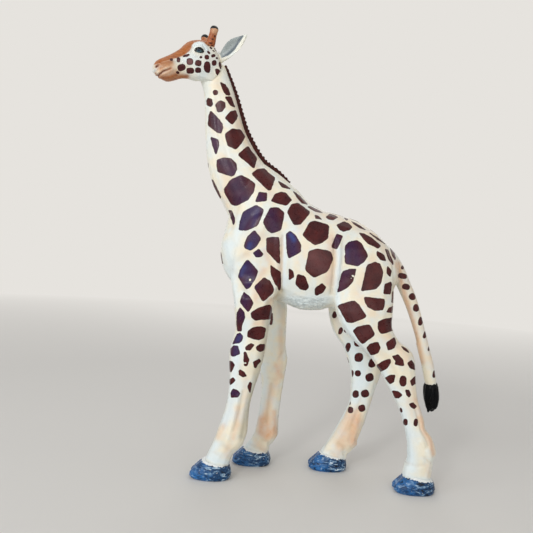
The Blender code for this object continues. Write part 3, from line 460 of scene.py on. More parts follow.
def foldHeight(places, strokes):
    total = np.zeros(len(places))
    for near, share, height in strokeShares(places, strokes):
        total[near] += height * share
    return total


def softShade(places, strokes):
    clear = np.ones(len(places))
    for near, share, strength in strokeShares(places, strokes):
        clear[near] *= 1 - strength * share
    return 1 - clear


def softSpot(places, middle, length, width, slope=(1.0, 0.0)):
    # 1 in the middle of a soft oval spot, 0 well outside it
    u, v = places[:, 0] - middle[0], places[:, 1] - middle[1]
    return np.exp(-((u * slope[0] - v * slope[1]) / length) ** 2 - ((u * slope[1] + v * slope[0]) / width) ** 2)


def pulled(points, places, strokes):
    # Moves points sideways in the plane of the photograph
    points = points.copy()
    moves = [([(u, v)], reach, (right, down)) for u, v, reach, right, down in strokes]
    for near, share, (right, down) in strokeShares(places, moves):
        points[near, 0] += right * share * photoMm / 1000
        points[near, 2] -= down * share * photoMm / 1000
    return points


def ease(value, low, high):
    t = np.clip((value - low) / (high - low), 0, 1)
    return t * t * (3 - 2 * t)


def roundedMaximum(first, second, width):
    # The larger of two distances, with a round corner where they cross
    share = np.clip(0.5 + (first - second) / (2 * width), 0, 1)
    return second + (first - second) * share + width * share * (1 - share)


def bumpy(points, sizeMm, seed, waves=14):
    # Smooth bumps from a few crossed waves, mostly between -1 and 1
    spin = np.random.default_rng(seed)
    total = np.zeros(len(points))
    for _ in range(waves):
        way = spin.normal(size=3)
        way /= np.linalg.norm(way)
        pace = math.tau / (sizeMm / 1000) * spin.uniform(0.7, 1.4)
        total += np.sin(points @ way * pace + spin.uniform(0, math.tau))
    return total / 5.0


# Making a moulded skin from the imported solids

def onlySelect(piece):
    bpy.ops.object.select_all(action="DESELECT")
    piece.select_set(True)
    bpy.context.view_layer.objects.active = piece


def applyModifier(piece, kind, settings):
    onlySelect(piece)
    bpy.ops.object.modifier_add(type=kind)
    for name, value in settings.items():
        setattr(piece.modifiers[-1], name, value)
    bpy.ops.object.modifier_apply(modifier=piece.modifiers[-1].name)


def solidCopy(nodeName, growth):
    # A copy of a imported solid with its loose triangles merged, a little larger all round
    piece = nodes[nodeName].copy()
    piece.data = piece.data.copy()
    piece.name = "copyOf_" + nodeName
    piece.parent = None
    for key in list(piece.keys()):
        del piece[key]
    bpy.context.scene.collection.objects.link(piece)
    onlySelect(piece)
    bpy.ops.object.mode_set(mode="EDIT")
    bpy.ops.mesh.select_all(action="SELECT")
    bpy.ops.mesh.remove_doubles(threshold=0.00001)
    bpy.ops.object.mode_set(mode="OBJECT")
    applyModifier(piece, "DISPLACE", {"strength": growth, "mid_level": 0.0})
    return piece


def readRows(rows, name, width=3, kind=np.float64):
    flat = np.zeros(len(rows) * width, kind)
    rows.foreach_get(name, flat)
    return flat.reshape(-1, width)


def pointsOf(piece):
    return readRows(piece.data.vertices, "co")


def normalsOf(piece):
    return readRows(piece.data.vertex_normals, "vector")


def boxOf(nodeName):
    return [np.array(corner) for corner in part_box(nodeName)]


def setPoints(piece, points):
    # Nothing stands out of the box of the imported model
    points = np.clip(points, np.array(cadLow), np.array(cadHigh))
    piece.data.vertices.foreach_set("co", points.ravel())
    piece.data.update()


def raised(piece, points, normals, heightMm):
    setPoints(piece, points + normals * heightMm[:, None] / 1000)


def neighbourSum(points, edges):
    # For each point the sum of the points at the other ends of its edges
    return np.stack([np.bincount(edges[:, 0], points[edges[:, 1], k], len(points))
                     + np.bincount(edges[:, 1], points[edges[:, 0], k], len(points)) for k in range(3)], 1)


def relaxed(piece, points, rounds, keep=-0.53):
    # Evens out the facets. With keep, the size stays
    edges = readRows(piece.data.edges, "vertices", 2, np.int32)
    links = np.bincount(edges.ravel(), minlength=len(points))[:, None]
    for _ in range(rounds):
        for amount in (0.5, keep):
            points = points + amount * (neighbourSum(points, edges) / links - points)
    return points


def keepOutside(skin):
    # Closed bubbles inside the mould are taken out
    form = bmesh.new()
    form.from_mesh(skin.data)
    left = set(form.verts)
    groups = []
    while left:
        group, edge = set(), [left.pop()]
        while edge:
            vertex = edge.pop()
            group.add(vertex)
            for link in vertex.link_edges:
                other = link.other_vert(vertex)
                if other in left:
                    left.discard(other)
                    edge.append(other)
        groups.append(group)
    groups.sort(key=len)
    for group in groups[:-1]:
        bmesh.ops.delete(form, geom=list(group), context="VERTS")
    form.to_mesh(skin.data)
    form.free()


def moulded(name, nodeNames, settings):
    # One closed skin over several solids
    growth = settings["growth"]
    copies = [solidCopy(n, growth.get(n, growth["rest"])) for n in nodeNames]
    onlySelect(copies[0])
    for piece in copies:
        piece.select_set(True)
    if len(copies) > 1:
        bpy.ops.object.join()
    skin = bpy.context.view_layer.objects.active
    skin.name = name
    applyModifier(skin, "REMESH", {"mode": "VOXEL", "voxel_size": settings["voxel"]})
    keepOutside(skin)
    setPoints(skin, relaxed(skin, pointsOf(skin), settings["rounds"]))
    skin.data.materials.clear()
    print("moulded", name, len(skin.data.polygons), "faces")
    return skin


def setFields(piece, fields):
    # Named values on the points, which the paints read
    for name, values in fields.items():
        row = np.zeros(len(piece.data.vertices), np.float32) + values
        field = piece.data.attributes.new(name, "FLOAT", "POINT")
        field.data.foreach_set("value", np.ascontiguousarray(row, np.float32))


def nodeGaps(points, nodeNames, reach=0.006):
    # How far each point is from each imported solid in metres, and 1 where it is out of reach
    gaps = np.full((len(points), len(nodeNames)), 1.0)
    for k, n in enumerate(nodeNames):
        mesh = nodes[n].data
        corners = [tuple(p.vertices) for p in mesh.polygons]
        tree = BVHTree.FromPolygons([v.co.copy() for v in mesh.vertices], corners)
        low, high = boxOf(n)
        for i in np.nonzero(((points > low - reach) & (points < high + reach)).all(1))[0]:
            gaps[i, k] = tree.find_nearest(Vector(points[i]))[3]
    return gaps


def smoothSeams(skin, owner, rounds=14):
    # Takes the steps out of the lines where two pieces meet
    seen = {}
    for polygon, k in zip(skin.data.polygons, owner):
        for key in polygon.edge_keys:
            seen.setdefault(key, set()).add(k)
    edges = np.array([key for key, sides in seen.items() if len(sides) > 1])
    points = pointsOf(skin)
    links = np.bincount(edges.ravel(), minlength=len(points))[:, None]
    along = links[:, 0] > 0
    for _ in range(rounds):
        points[along] += 0.5 * (neighbourSum(points, edges)[along] / links[along] - points[along])
    setPoints(skin, points)


capDepth = 0.0009       # metres that a covered end reaches inwards


def closedPart(skin, inPart):
    # The faces of one piece, with each open end closed by a shallow hollow
    form = bmesh.new()
    form.from_mesh(skin.data)
    bmesh.ops.delete(form, geom=[f for f, kept in zip(list(form.faces), inPart) if not kept], context="FACES")
    layer = form.verts.layers.float_vector["shading"]
    caps = bmesh.ops.holes_fill(form, edges=[e for e in form.edges if e.is_boundary], sides=0)["faces"]
    for vertex in bmesh.ops.poke(form, faces=caps)["verts"]:
        around = [e.other_vert(vertex)[layer] for e in vertex.link_edges]
        vertex.co -= sum(around, Vector()) / len(around) * capDepth
        vertex[layer] = (0.0, 0.0, 0.0)
    bmesh.ops.recalc_face_normals(form, faces=form.faces)
    if form.calc_volume(signed=True) < 0:
        bmesh.ops.reverse_faces(form, faces=form.faces)
    return form


def splitUp(skin, nodeNames, gaps):
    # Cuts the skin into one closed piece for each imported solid, along the seams between the solids.
    # Each keeps the skin's own shading, so a seam shows only where a fold is sculpted.
    field = skin.data.attributes.new("shading", "FLOAT_VECTOR", "POINT")
    field.data.foreach_set("vector", np.ascontiguousarray(normalsOf(skin), np.float32).ravel())
    corners = [tuple(p.vertices) for p in skin.data.polygons]
    owner = np.array([int(np.argmin(gaps[list(c)].sum(0))) for c in corners])
    smoothSeams(skin, owner)
    made = {}
    for k, nodeName in enumerate(nodeNames):
        form = closedPart(skin, owner == k)
        data = bpy.data.meshes.new(nodeName + "Skin")
        form.to_mesh(data)
        form.free()
        piece = bpy.data.objects.new(nodeName + "Skin", data)
        bpy.context.scene.collection.objects.link(piece)
        onlySelect(piece)
        bpy.ops.object.shade_smooth()
        wanted = readRows(data.attributes["shading"].data, "vector")
        hollow = np.linalg.norm(wanted, axis=1) < 0.1
        wanted[hollow] = normalsOf(piece)[hollow]
        if not nodeName.endswith("eye"):
            data.normals_split_custom_set_from_vertices([tuple(n) for n in wanted])
        data.attributes.remove(data.attributes["shading"])
        made[nodeName] = piece
    bpy.data.objects.remove(skin, do_unlink=True)
    return made


def finishPiece(piece, material, nodeName):
    piece.data.materials.clear()
    piece.data.materials.append(material)
    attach(piece, "root")
    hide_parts(nodeName)


# Paints and materials

def colour(hexCode):
    # An sRGB hex colour as linear values
    parts = [int(hexCode[i:i + 2], 16) / 255 for i in (1, 3, 5)]
    return tuple(c / 12.92 if c <= 0.04045 else ((c + 0.055) / 1.055) ** 2.4 for c in parts) + (1.0,)


def palette(**codes):
    return {name: colour(code) for name, code in codes.items()}


def addNode(tree, kind, settings=None, links=None):
    node = tree.nodes.new(kind)
    for name, value in (settings or {}).items():
        if isinstance(name, str) and hasattr(node, name):
            setattr(node, name, value)
        else:
            node.inputs[name].default_value = value
    for socket, source in (links or {}).items():
        tree.links.new(source, node.inputs[socket])
    return node


def feed(tree, socket, value):
    # A number or a colour is set on the socket, anything else is linked to it
    if isinstance(value, (float, tuple)):
        socket.default_value = value
    else:
        tree.links.new(value, socket)


def newMaterial(name):
    material = bpy.data.materials.new(name)
    material.use_nodes = True
    tree = material.node_tree
    return material, tree, tree.nodes["Principled BSDF"]


def finishPaint(tree, shader, base, roughness, specular, relief=None, strength=0.0, depth=0.0):
    feed(tree, shader.inputs["Base Color"], base)
    feed(tree, shader.inputs["Roughness"], roughness)
    feed(tree, shader.inputs["Specular IOR Level"], specular)
    if relief is not None:
        bump = addNode(tree, "ShaderNodeBump", {"Strength": strength, "Distance": depth}, {"Height": relief})
        tree.links.new(bump.outputs["Normal"], shader.inputs["Normal"])


def field(tree, name):
    return addNode(tree, "ShaderNodeAttribute", {"attribute_name": name}).outputs["Fac"]


def objectNoise(tree, sizeMm, detail=2.0, roughness=0.5, stretch=(1, 1, 1), turn=0.0, twist=0.0):
    # Noise whose blotches are about sizeMm across
    place = addNode(tree, "ShaderNodeTexCoord").outputs["Object"]
    if stretch != (1, 1, 1):
        settings = {"Scale": stretch, "Rotation": (0.0, math.radians(turn), 0.0)}
        place = addNode(tree, "ShaderNodeMapping", settings, {"Vector": place}).outputs["Vector"]
    settings = {"Scale": 1000.0 / sizeMm, "Detail": detail, "Roughness": roughness, "Distortion": twist}
    return addNode(tree, "ShaderNodeTexNoise", settings, {"Vector": place}).outputs["Fac"]


def ramp(tree, source, low, high, bottom=0.0, top=1.0):
    settings = {"From Min": low, "From Max": high, "To Min": bottom, "To Max": top}
    return addNode(tree, "ShaderNodeMapRange", settings, {"Value": source}).outputs["Result"]


def blend(tree, amount, first, second):
    # Mixes two colours or sources by amount
    node = addNode(tree, "ShaderNodeMix", {"data_type": "RGBA"})
    for socket, value in ((0, amount), (6, first), (7, second)):
        feed(tree, node.inputs[socket], value)
    return node.outputs[2]


def combine(tree, first, second, operation="MULTIPLY"):
    node = addNode(tree, "ShaderNodeMath", {"operation": operation})
    feed(tree, node.inputs[0], first)
    feed(tree, node.inputs[1], second)
    return node.outputs[0]


def coatMaterial():
    # Moulded PVC with hand-sprayed cream lacquer and brush-painted patches: smooth, with a satin gloss
    coat = palette(cream="#f1e9d3", cool="#e2edf0", warm="#dfa77a", dull="#b3ad95", wash="#b7986f", fur="#b7c6c9",
                   brown="#b0672f", brownDark="#99552a", lip="#5e2114", cup="#9aa2a1", cupDark="#5c666e")
    brush = palette(dark="#3c1417", light="#55201f", rim="#2e0e11",
                    violet="#2f1d4c", blue="#34427e", paler="#7d5455")
    edgeMm, wobbleMm = 0.10, 0.26       # how soft and how unsteady the brush left a patch's edge
    material, tree, shader = newMaterial("satinLacqueredPvc")
    fine = objectNoise(tree, 1.6, 3.0)
    # The airbrushed lacquer: cream, with cool white passes that are in part painted light, warm passes, and passes
    # of painted shade
    cloud = ramp(tree, objectNoise(tree, 7.0, 3.0), 0.42, 0.62, 0.0, 0.55)
    base = blend(tree, cloud, coat["cream"], coat["cool"])
    base = blend(tree, field(tree, "cool"), base, coat["cool"])
    warm = combine(tree, field(tree, "warm"), ramp(tree, fine, 0.2, 0.7, 0.62, 0.90))
    base = blend(tree, warm, base, coat["warm"])
    base = blend(tree, field(tree, "dull"), base, coat["dull"])
    # Painted shade: a thin beige tint in the sculpted folds, stronger the deeper they are, and grey-blue between
    # the tufts under the belly
    base = blend(tree, combine(tree, field(tree, "foldShade"), 0.30), base, coat["wash"])
    strands = objectNoise(tree, 1.5, 3.0, 0.6, (1.0, 1.0, 1.6))
    tuftShade = combine(tree, field(tree, "fur"), ramp(tree, strands, 0.55, 0.40, 0.0, 0.6))
    base = blend(tree, tuftShade, base, coat["fur"])
    # Brown on the face, streaked along the nose, then lips and ears
    streak = ramp(tree, objectNoise(tree, 2.2, 3.0, 0.6, (0.5, 1, 1)), 0.35, 0.65)
    brown = combine(tree, field(tree, "brown"), ramp(tree, fine, 0.3, 0.6, 0.93, 1.0))
    base = blend(tree, brown, base, blend(tree, streak, coat["brown"], coat["brownDark"]))
    for name in ("lip", "cup", "cupDark"):
        base = blend(tree, field(tree, name), base, coat[name])
    # Brushed patches with a darker rim, and painted reflections on their gloss: a violet tint, small blue spots and
    # a paler sheen
    wobble = ramp(tree, objectNoise(tree, 2.4, 2.0), 0.3, 0.7, -wobbleMm / 2, wobbleMm / 2)
    edge = combine(tree, field(tree, "patch"), wobble, "ADD")
    painted = ramp(tree, edge, -edgeMm, edgeMm, 1.0, 0.0)
    patch = blend(tree, ramp(tree, objectNoise(tree, 5.0, 3.0), 0.35, 0.7), brush["dark"], brush["light"])
    patch = blend(tree, combine(tree, field(tree, "violet"), 0.95), patch, brush["violet"])
    for name in ("blue", "paler"):
        patch = blend(tree, field(tree, name), patch, brush[name])
    patch = blend(tree, ramp(tree, edge, -0.55, -0.10, 0.0, 0.7), patch, brush["rim"])
    relief = combine(tree, combine(tree, fine, 0.35), combine(tree, painted, 0.5), "ADD")
    tufts = combine(tree, combine(tree, field(tree, "fur"), strands), 2.6)
    finishPaint(tree, shader, blend(tree, painted, base, patch), ramp(tree, fine, 0.3, 0.7, 0.25, 0.34), 0.22,
                combine(tree, relief, tufts, "ADD"), 0.35, 0.00025)
    return material


def hornMaterial():
    # The same lacquer in brown, with a peach band under a black knob, on one side only and in part a painted
    # highlight
    horn = palette(brown="#b3683c", dark="#8f4a28", band="#dcae8a", knob="#15161a", dots="#3a1a16")
    material, tree, shader = newMaterial("brownLacqueredPvc")
    along = combine(tree, field(tree, "along"), ramp(tree, objectNoise(tree, 1.5), 0.3, 0.7, -0.04, 0.04), "ADD")
    base = blend(tree, ramp(tree, objectNoise(tree, 1.4, 3.0), 0.35, 0.65), horn["brown"], horn["dark"])
    base = blend(tree, combine(tree, ramp(tree, along, 0.52, 0.70), field(tree, "band")), base, horn["band"])
    base = blend(tree, ramp(tree, along, 0.79, 0.82), base, horn["knob"])
    base = blend(tree, ramp(tree, field(tree, "patch"), -0.12, 0.12, 1.0, 0.0), base, horn["dots"])
    finishPaint(tree, shader, base, 0.3, 0.25)
    return material


def hoofMaterial():
    # Blue paint over black, dry-brushed with paler blue and white on the heel: plain at the toe
    hoof = palette(deep="#12406f", blue="#2567a6", pale="#86abc9", white="#dbe6ec",
                   black="#08111c", splash="#e9ecea")
    material, tree, shader = newMaterial("dryBrushedHoofPaint")
    brush = objectNoise(tree, 1.5, 5.0, 0.65, (0.38, 0.8, 1.2), 32.0, 0.8)
    heel = field(tree, "heel")
    base = blend(tree, ramp(tree, objectNoise(tree, 5.0, 2.0), 0.35, 0.65), hoof["blue"], hoof["deep"])
    base = blend(tree, combine(tree, heel, 0.55), base, hoof["black"])
    base = blend(tree, ramp(tree, brush, 0.46, 0.36), base, hoof["black"])
    for name, least, low, high in (("pale", 0.35, 0.52, 0.62), ("white", 0.25, 0.60, 0.67)):
        dry = combine(tree, ramp(tree, heel, 0.0, 0.6, least, 1.0), ramp(tree, brush, low, high))
        base = blend(tree, dry, base, hoof[name])
    ragged = ramp(tree, objectNoise(tree, 1.2, 3.0), 0.3, 0.7, -0.5, 0.5)
    splash = ramp(tree, combine(tree, field(tree, "splash"), ragged, "ADD"), 0.45, 0.55)
    finishPaint(tree, shader, blend(tree, splash, base, hoof["splash"]), 0.35, 0.3, brush, 0.7, 0.0003)
    return material


def hairMaterial(name, dark, light, roughness, stretch):
    # Moulded hair with one coat of dark paint, lighter on the raised strands
    material, tree, shader = newMaterial(name)
    strand = objectNoise(tree, 1.0, 3.0, 0.6, stretch)
    base = blend(tree, ramp(tree, strand, 0.45, 0.75), colour(dark), colour(light))
    finishPaint(tree, shader, base, roughness, 0.12, strand, 0.9, 0.0003)
    return material


def eyeMaterial():
    # Gloss enamel: black, with a painted blue-grey reflection in a ring round a dark blue middle
    eye = palette(black="#020303", ring="#58787f", blue="#1a2a42")
    material, tree, shader = newMaterial("glossEnamelEye")
    base = blend(tree, ramp(tree, field(tree, "irisReflection"), 0.25, 0.75, 0.0, 0.8), eye["black"], eye["ring"])
    base = blend(tree, ramp(tree, field(tree, "pupil"), 0.35, 0.75), base, eye["blue"])
    finishPaint(tree, shader, base, 0.1, 0.3)
    return material


coatPaint = coatMaterial()
hornPaint = hornMaterial()
hoofPaint = hoofMaterial()
manePaint = hairMaterial("darkBrownHairPaint", "#2e0f0d", "#5a241c", 0.45, (1.6, 1, 1.6))
tuftPaint = hairMaterial("blackHairPaint", "#010204", "#080a10", 0.28, (2.0, 2.0, 0.4))
eyePaint = eyeMaterial()
print("materials made")


# Body, legs and tail

body = {
    "nodes": ["torso", "neck", "front_left_leg", "front_right_leg", "hind_left_leg", "hind_right_leg", "tail"],
    "leftLegs": (2, 4), "rightLegs": (3, 5),        # their places in the list of nodes
    "growth": {"rest": 0.0002}, "voxel": 0.00055, "rounds": 34,
    "legMiddle": 0.0135,                # metres from the middle plane to the middle of a leg
    "innerTop": 0.105,                  # metres, above which the inner sides don't show
    "leftInner": (0.002, 0.0045),       # metres inwards over which the inner side's pattern takes over
    "rightInner": (0.0005, 0.003),
    "furFrom": (280, 292), "furTo": (318, 334), "furDown": (293, 300),
    "furHeight": 0.34,                  # mm, of the tufts under the belly
    "brushWider": 0.35,                 # pixels by which the brush went over the outlines
    "rightLower": 9.0,                  # pixels by which the right side's patches sit lower round the chest
    "ringWidth": 1.9,                   # pixels
    "gapMm": 0.7, "gapSwayMm": 0.5, "rumpGapMm": 8.0, "gapRoundMm": 2.2,
    # Painted reflections on the glossy patches: a violet tint, small blue spots and a paler sheen
    "violet": [([(252, 210), (244, 218), (240, 228)], 9, 0.97), ([(254, 238), (252, 250)], 7, 0.95),
               ([(247, 264), (250, 284)], 8, 0.90),
               ([(290, 234), (294, 254)], 7, 0.85), ([(270, 212), (274, 230)], 8, 0.55),
               ([(246, 296), (243, 316)], 7, 0.60),
               ([(238, 336), (236, 356)], 5, 0.95), ([(350, 244), (358, 262)], 8, 0.60),
               ([(346, 272), (340, 288)], 6, 0.55),
               ([(236, 184), (244, 202)], 10, 0.50), ([(258, 192), (262, 200)], 5, 0.60),
               ([(336, 236), (340, 248)], 5, 0.45),
               ([(216, 116), (220, 130)], 6, 0.40), ([(215, 138), (214, 152)], 5, 0.55),
               ([(222, 160), (234, 174)], 7, 0.45),
               ([(231, 392), (238, 394)], 4, 0.70), ([(257, 255), (259, 257)], 4, 0.60)],
    "blue": [([(291, 235), (294, 240)], 2.4, 0.95), ([(250, 244), (248, 250)], 2.6, 0.70),
             ([(244, 267), (241, 275)], 2.8, 0.55),
             ([(258, 210), (253, 226)], 3.0, 0.30), ([(241, 336), (238, 340)], 2.4, 0.40),
             ([(347, 252), (348, 262)], 3.0, 0.25)],
    "paler": [([(312, 258), (322, 268)], 9, 0.36), ([(342, 286), (346, 280)], 6, 0.25),
              ([(352, 310), (358, 318)], 7, 0.25),
              ([(360, 334), (370, 330)], 6, 0.20)]}


def middleAt(nodeName, heights):
    # Middle of a leg, front to back, at each height
    points = pointsOf(nodes[nodeName])
    middles = []
    for z in heights:
        x = points[np.abs(points[:, 2] - z) < 0.004, 0]
        middles.append((x.min() + x.max()) / 2)
    return np.array(middles)


def bodyPlaces(points):
    # Where each point of the body lies in the photograph: as a part of the outer side, as a part of a leg's
    # inner side, and by itself. The right side takes the left one's pattern, and the left legs' inner sides
    # that of the right ones, each leg shifted onto the other.
    heights = np.arange(0.012, 0.094, 0.006)
    x, y, z = points.T
    outerX, innerX = x.copy(), x.copy()
    for left, far in (("front_left_leg", "front_right_leg"), ("hind_left_leg", "hind_right_leg")):
        shift = np.interp(z, heights, middleAt(left, heights) - middleAt(far, heights))
        shift *= 1 - ease(z, 0.080, 0.096)
        for nodeName, moved, way in ((far, outerX, 1), (left, innerX, -1)):
            low, high = boxOf(nodeName)
            here = (x > low[0] - 0.002) & (x < high[0] + 0.002) & (y * way > 0.002) & (z < 0.1)
            moved[here] += way * shift[here]
    outer = photoPlace(np.stack([outerX, -np.abs(y), z], 1))
    # The right side's pattern sways a little, so that it isn't the left side's mirror image
    sway = ease(y, 0.002, 0.014)
    outer[:, 0] += sway * 2.6 * np.sin(outer[:, 1] / 19.0 + 0.8)
    outer[:, 1] += sway * 2.4 * np.sin(outer[:, 0] / 23.0)
    return outer, photoPlace(np.stack([innerX, np.abs(y), z], 1)), photoPlace(points)


def bodyPattern(points, normals, outer, innerPlaces, inner, isLeg, isTorso):
    # Distance to the edge of the nearest patch or spot in mm, less than zero inside
    z = points[:, 2]
    away = 4.0      # mm, added where the other side of a leg has its own pattern
    brushed = outer.copy()
    chest = ease(-normals[:, 0], 0.5, 0.85) * (points[:, 1] > 0) * (z > body["innerTop"])
    brushed[:, 1] -= body["rightLower"] * chest
    coat = patchDistance(brushed, [corners for area in patches.values() for corners in area])
    coat = np.minimum(coat, spotDistance(brushed, "coat"))
    ring = spotDistance(brushed, "ring")
    coat = np.minimum(coat, np.maximum(ring, -body["ringWidth"] - ring))
    # Painted highlights: the glint gaps are left cream inside the patches
    coat = np.maximum(coat, -spotDistance(brushed, "glintGap"))
    coat = (coat - body["brushWider"]) * photoMm + inner * away
    innerCoat = (spotDistance(innerPlaces, "inner") - body["brushWider"]) * photoMm + (1 - inner) * away
    coat = np.where(inner > 0.5, np.minimum(coat, innerCoat), coat)
    # Patches stop short of the middle line in front, behind and below, and a double row runs along the spine
    gap = body["gapMm"] + body["gapSwayMm"] * np.sin(z * 200)
    gap += body["rumpGapMm"] * ease(normals[:, 0], 0.6, 0.95) * isTorso
    gap -= np.abs(points[:, 1]) * 1000
    coat = np.where(isLeg, coat, roundedMaximum(coat, gap, body["gapRoundMm"]))
    spine = patchDistance(points[:, :2] * 1000, spinePatches)
    return np.minimum(coat, spine + 6 * (1 - ease(normals[:, 2], 0.4, 0.6) * isTorso))


def makeBody():
    skin = moulded("bodySkin", body["nodes"], body)
    points, normals = pointsOf(skin), normalsOf(skin)
    gaps = nodeGaps(points, body["nodes"])
    owner = gaps.argmin(1)
    isTorso = owner == 0
    outer, innerPlaces, direct = bodyPlaces(points)
    isLeg = np.isin(owner, body["leftLegs"] + body["rightLegs"])
    side = np.where(np.isin(owner, body["leftLegs"]), -1.0, 1.0)
    # How far a point on a leg is turned to the inside, between the legs
    inward = np.where(isLeg & (points[:, 2] < body["innerTop"]), body["legMiddle"] - side * points[:, 1], -0.01)
    inner = np.where(side < 0, ease(inward, *body["leftInner"]), ease(inward, *body["rightInner"]))

    points = pulled(points, np.where(isLeg[:, None], direct, outer), pulls["body"])
    height = foldHeight(outer, folds["outer"]) * (1 - inner) + foldHeight(innerPlaces, folds["inner"]) * inner
    fur = ease(outer[:, 1], *body["furDown"]) * ease(outer[:, 0], *body["furFrom"])
    fur *= (1 - ease(outer[:, 0], *body["furTo"])) * isTorso
    height += fur * body["furHeight"] * (1 - 2.2 * np.minimum(np.abs(bumpy(points, 3.2, 3)), 1))
    raised(skin, points, normals, height)

    coat = bodyPattern(points, normals, outer, innerPlaces, inner, isLeg, isTorso)
    # dull holds the painted shade on the sides turned away from the light, on the outer sides only
    fields = {"patch": np.clip(coat, -2, 2), "dull": softShade(outer, shading["dull"]) * (1 - inner)}
    for name, innerName in (("warm", "innerWarm"), ("cool", "innerCool")):
        shade = softShade(outer, shading[name]) * (1 - inner) + softShade(innerPlaces, shading[innerName]) * inner
        fields[name] = np.clip(shade, 0, 1)
    # Painted reflections on the patches
    fields.update({name: softShade(outer, body[name]) for name in ("violet", "blue", "paler")})
    # Painted shade in the sculpted folds and between the tufts
    fields.update({"fur": fur, "foldShade": np.clip(-height * 1.6, 0, 1) * (1 - fur)})
    fields.update(dict.fromkeys(("brown", "lip", "cup", "cupDark"), 0))
    setFields(skin, fields)
    print("body painted")
    for nodeName, piece in splitUp(skin, body["nodes"], gaps).items():
        finishPiece(piece, coatPaint, nodeName)
    print("body split into", len(body["nodes"]), "pieces")


makeBody()


# Head, ears, ossicones and eyes

skull = {
    "nodes": ["head", "left_ear", "right_ear", "left_ossicone", "right_ossicone", "left_eye", "right_eye"],
    "ears": (1, 2), "horns": (3, 4), "eyes": (5, 6),       # their places in the list of nodes
    "growth": {"rest": 0.00016, "left_ear": 0.00042, "right_ear": 0.00042}, "voxel": 0.00032, "rounds": 26,
    "brown": [(148, 65.5), (154.3, 64.8), (160, 63.4), (164, 61.4), (170.7, 59.6), (177.5, 58.2), (182.5, 56.2),
              (186, 54.0),
              (189, 51.4), (191.4, 48.6), (192, 45.6), (194.5, 42.8), (199, 41.4), (203, 42.0), (206, 44.6),
              (210, 46.6),
              (214, 46.6), (218, 43), (218, 15), (148, 15)],
    "eye": [(193.7, 50.8), (195.4, 48.2), (198.1, 47.0), (200.9, 47.5), (203.2, 49.5), (204.5, 52.6), (203.9, 53.3),
            (201, 53.2), (197.7, 52.8), (194.6, 51.9)],
    "earCup": [(220.5, 58.5), (229, 55.3), (234.6, 50.2), (239, 43.6), (243.2, 37.2), (241, 32), (230, 33),
               (221, 44),
               (216, 56)],
    "earRim": [(223, 57), (227.1, 54.6), (230.7, 51.8), (234.4, 48.0), (237.5, 43.4), (240.3, 38.8), (243.4, 35.4)],
    "earFacing": 0.69, "earLean": -0.17,        # the way that the hollow of an ear looks
    # irisReflection is the middle of the painted reflection in the eye
    "nostril": (156.2, 66.4), "irisReflection": (199.2, 51.2), "pupil": (198.9, 50.2),
    # lipCorner: a painted shadow under the upper lip, in the lip's maroon
    "lipCorner": [(155.6, 75.4), (157.4, 75.2)],
    "eyeBall": 0.22, "eyeSunk": 0.05,           # mm that the eyeball swells, and how deep its rim lies
    "earRounds": 14,
    "brushWider": 0.30}


def turnedBy(degrees):
    return Matrix.Rotation(math.radians(degrees), 3, "Z")


def inHead(points):
    # The points in the head's own directions, from the place where it meets the neck
    return (points - head["joint"]) @ np.array(turnedBy(-head["turn"])).T


def headPlaces(points):
    # The head's far side takes its near side's paint, mirrored in the head's own middle plane
    local = inHead(points)
    local[:, 1] = -np.abs(local[:, 1])
    return photoPlace(local @ np.array(turnedBy(head["turn"])).T + head["joint"])


def earCups(normals, places, gaps, owner):
    # How much of the grey paint in the ears a point has, and how much of the dark along their rims
    gap = patchDistance(places, [skull["earCup"]])
    near, least = strokeDistance(places, skull["earRim"], 30)
    rimGap = np.full(len(places), 30.0)
    rimGap[near] = least
    dark = np.maximum(np.exp(-(rimGap / 1.5) ** 2), ease(places[:, 0], 237, 243) * 0.8)
    cup = np.zeros(len(places))
    for k, earSide in zip(skull["ears"], (-1.0, 1.0)):
        way = Vector((-skull["earFacing"], earSide * skull["earFacing"], skull["earLean"]))
        facing = normals @ np.array(turnedBy(head["turn"]) @ way)
        inside = ease(-gap, -0.3, 0.4) * ease(facing, 0.0, 0.3) * ease(gaps[:, 0], 0.0003, 0.0012)
        cup = np.where(owner == k, inside, cup)
    return cup, cup * dark


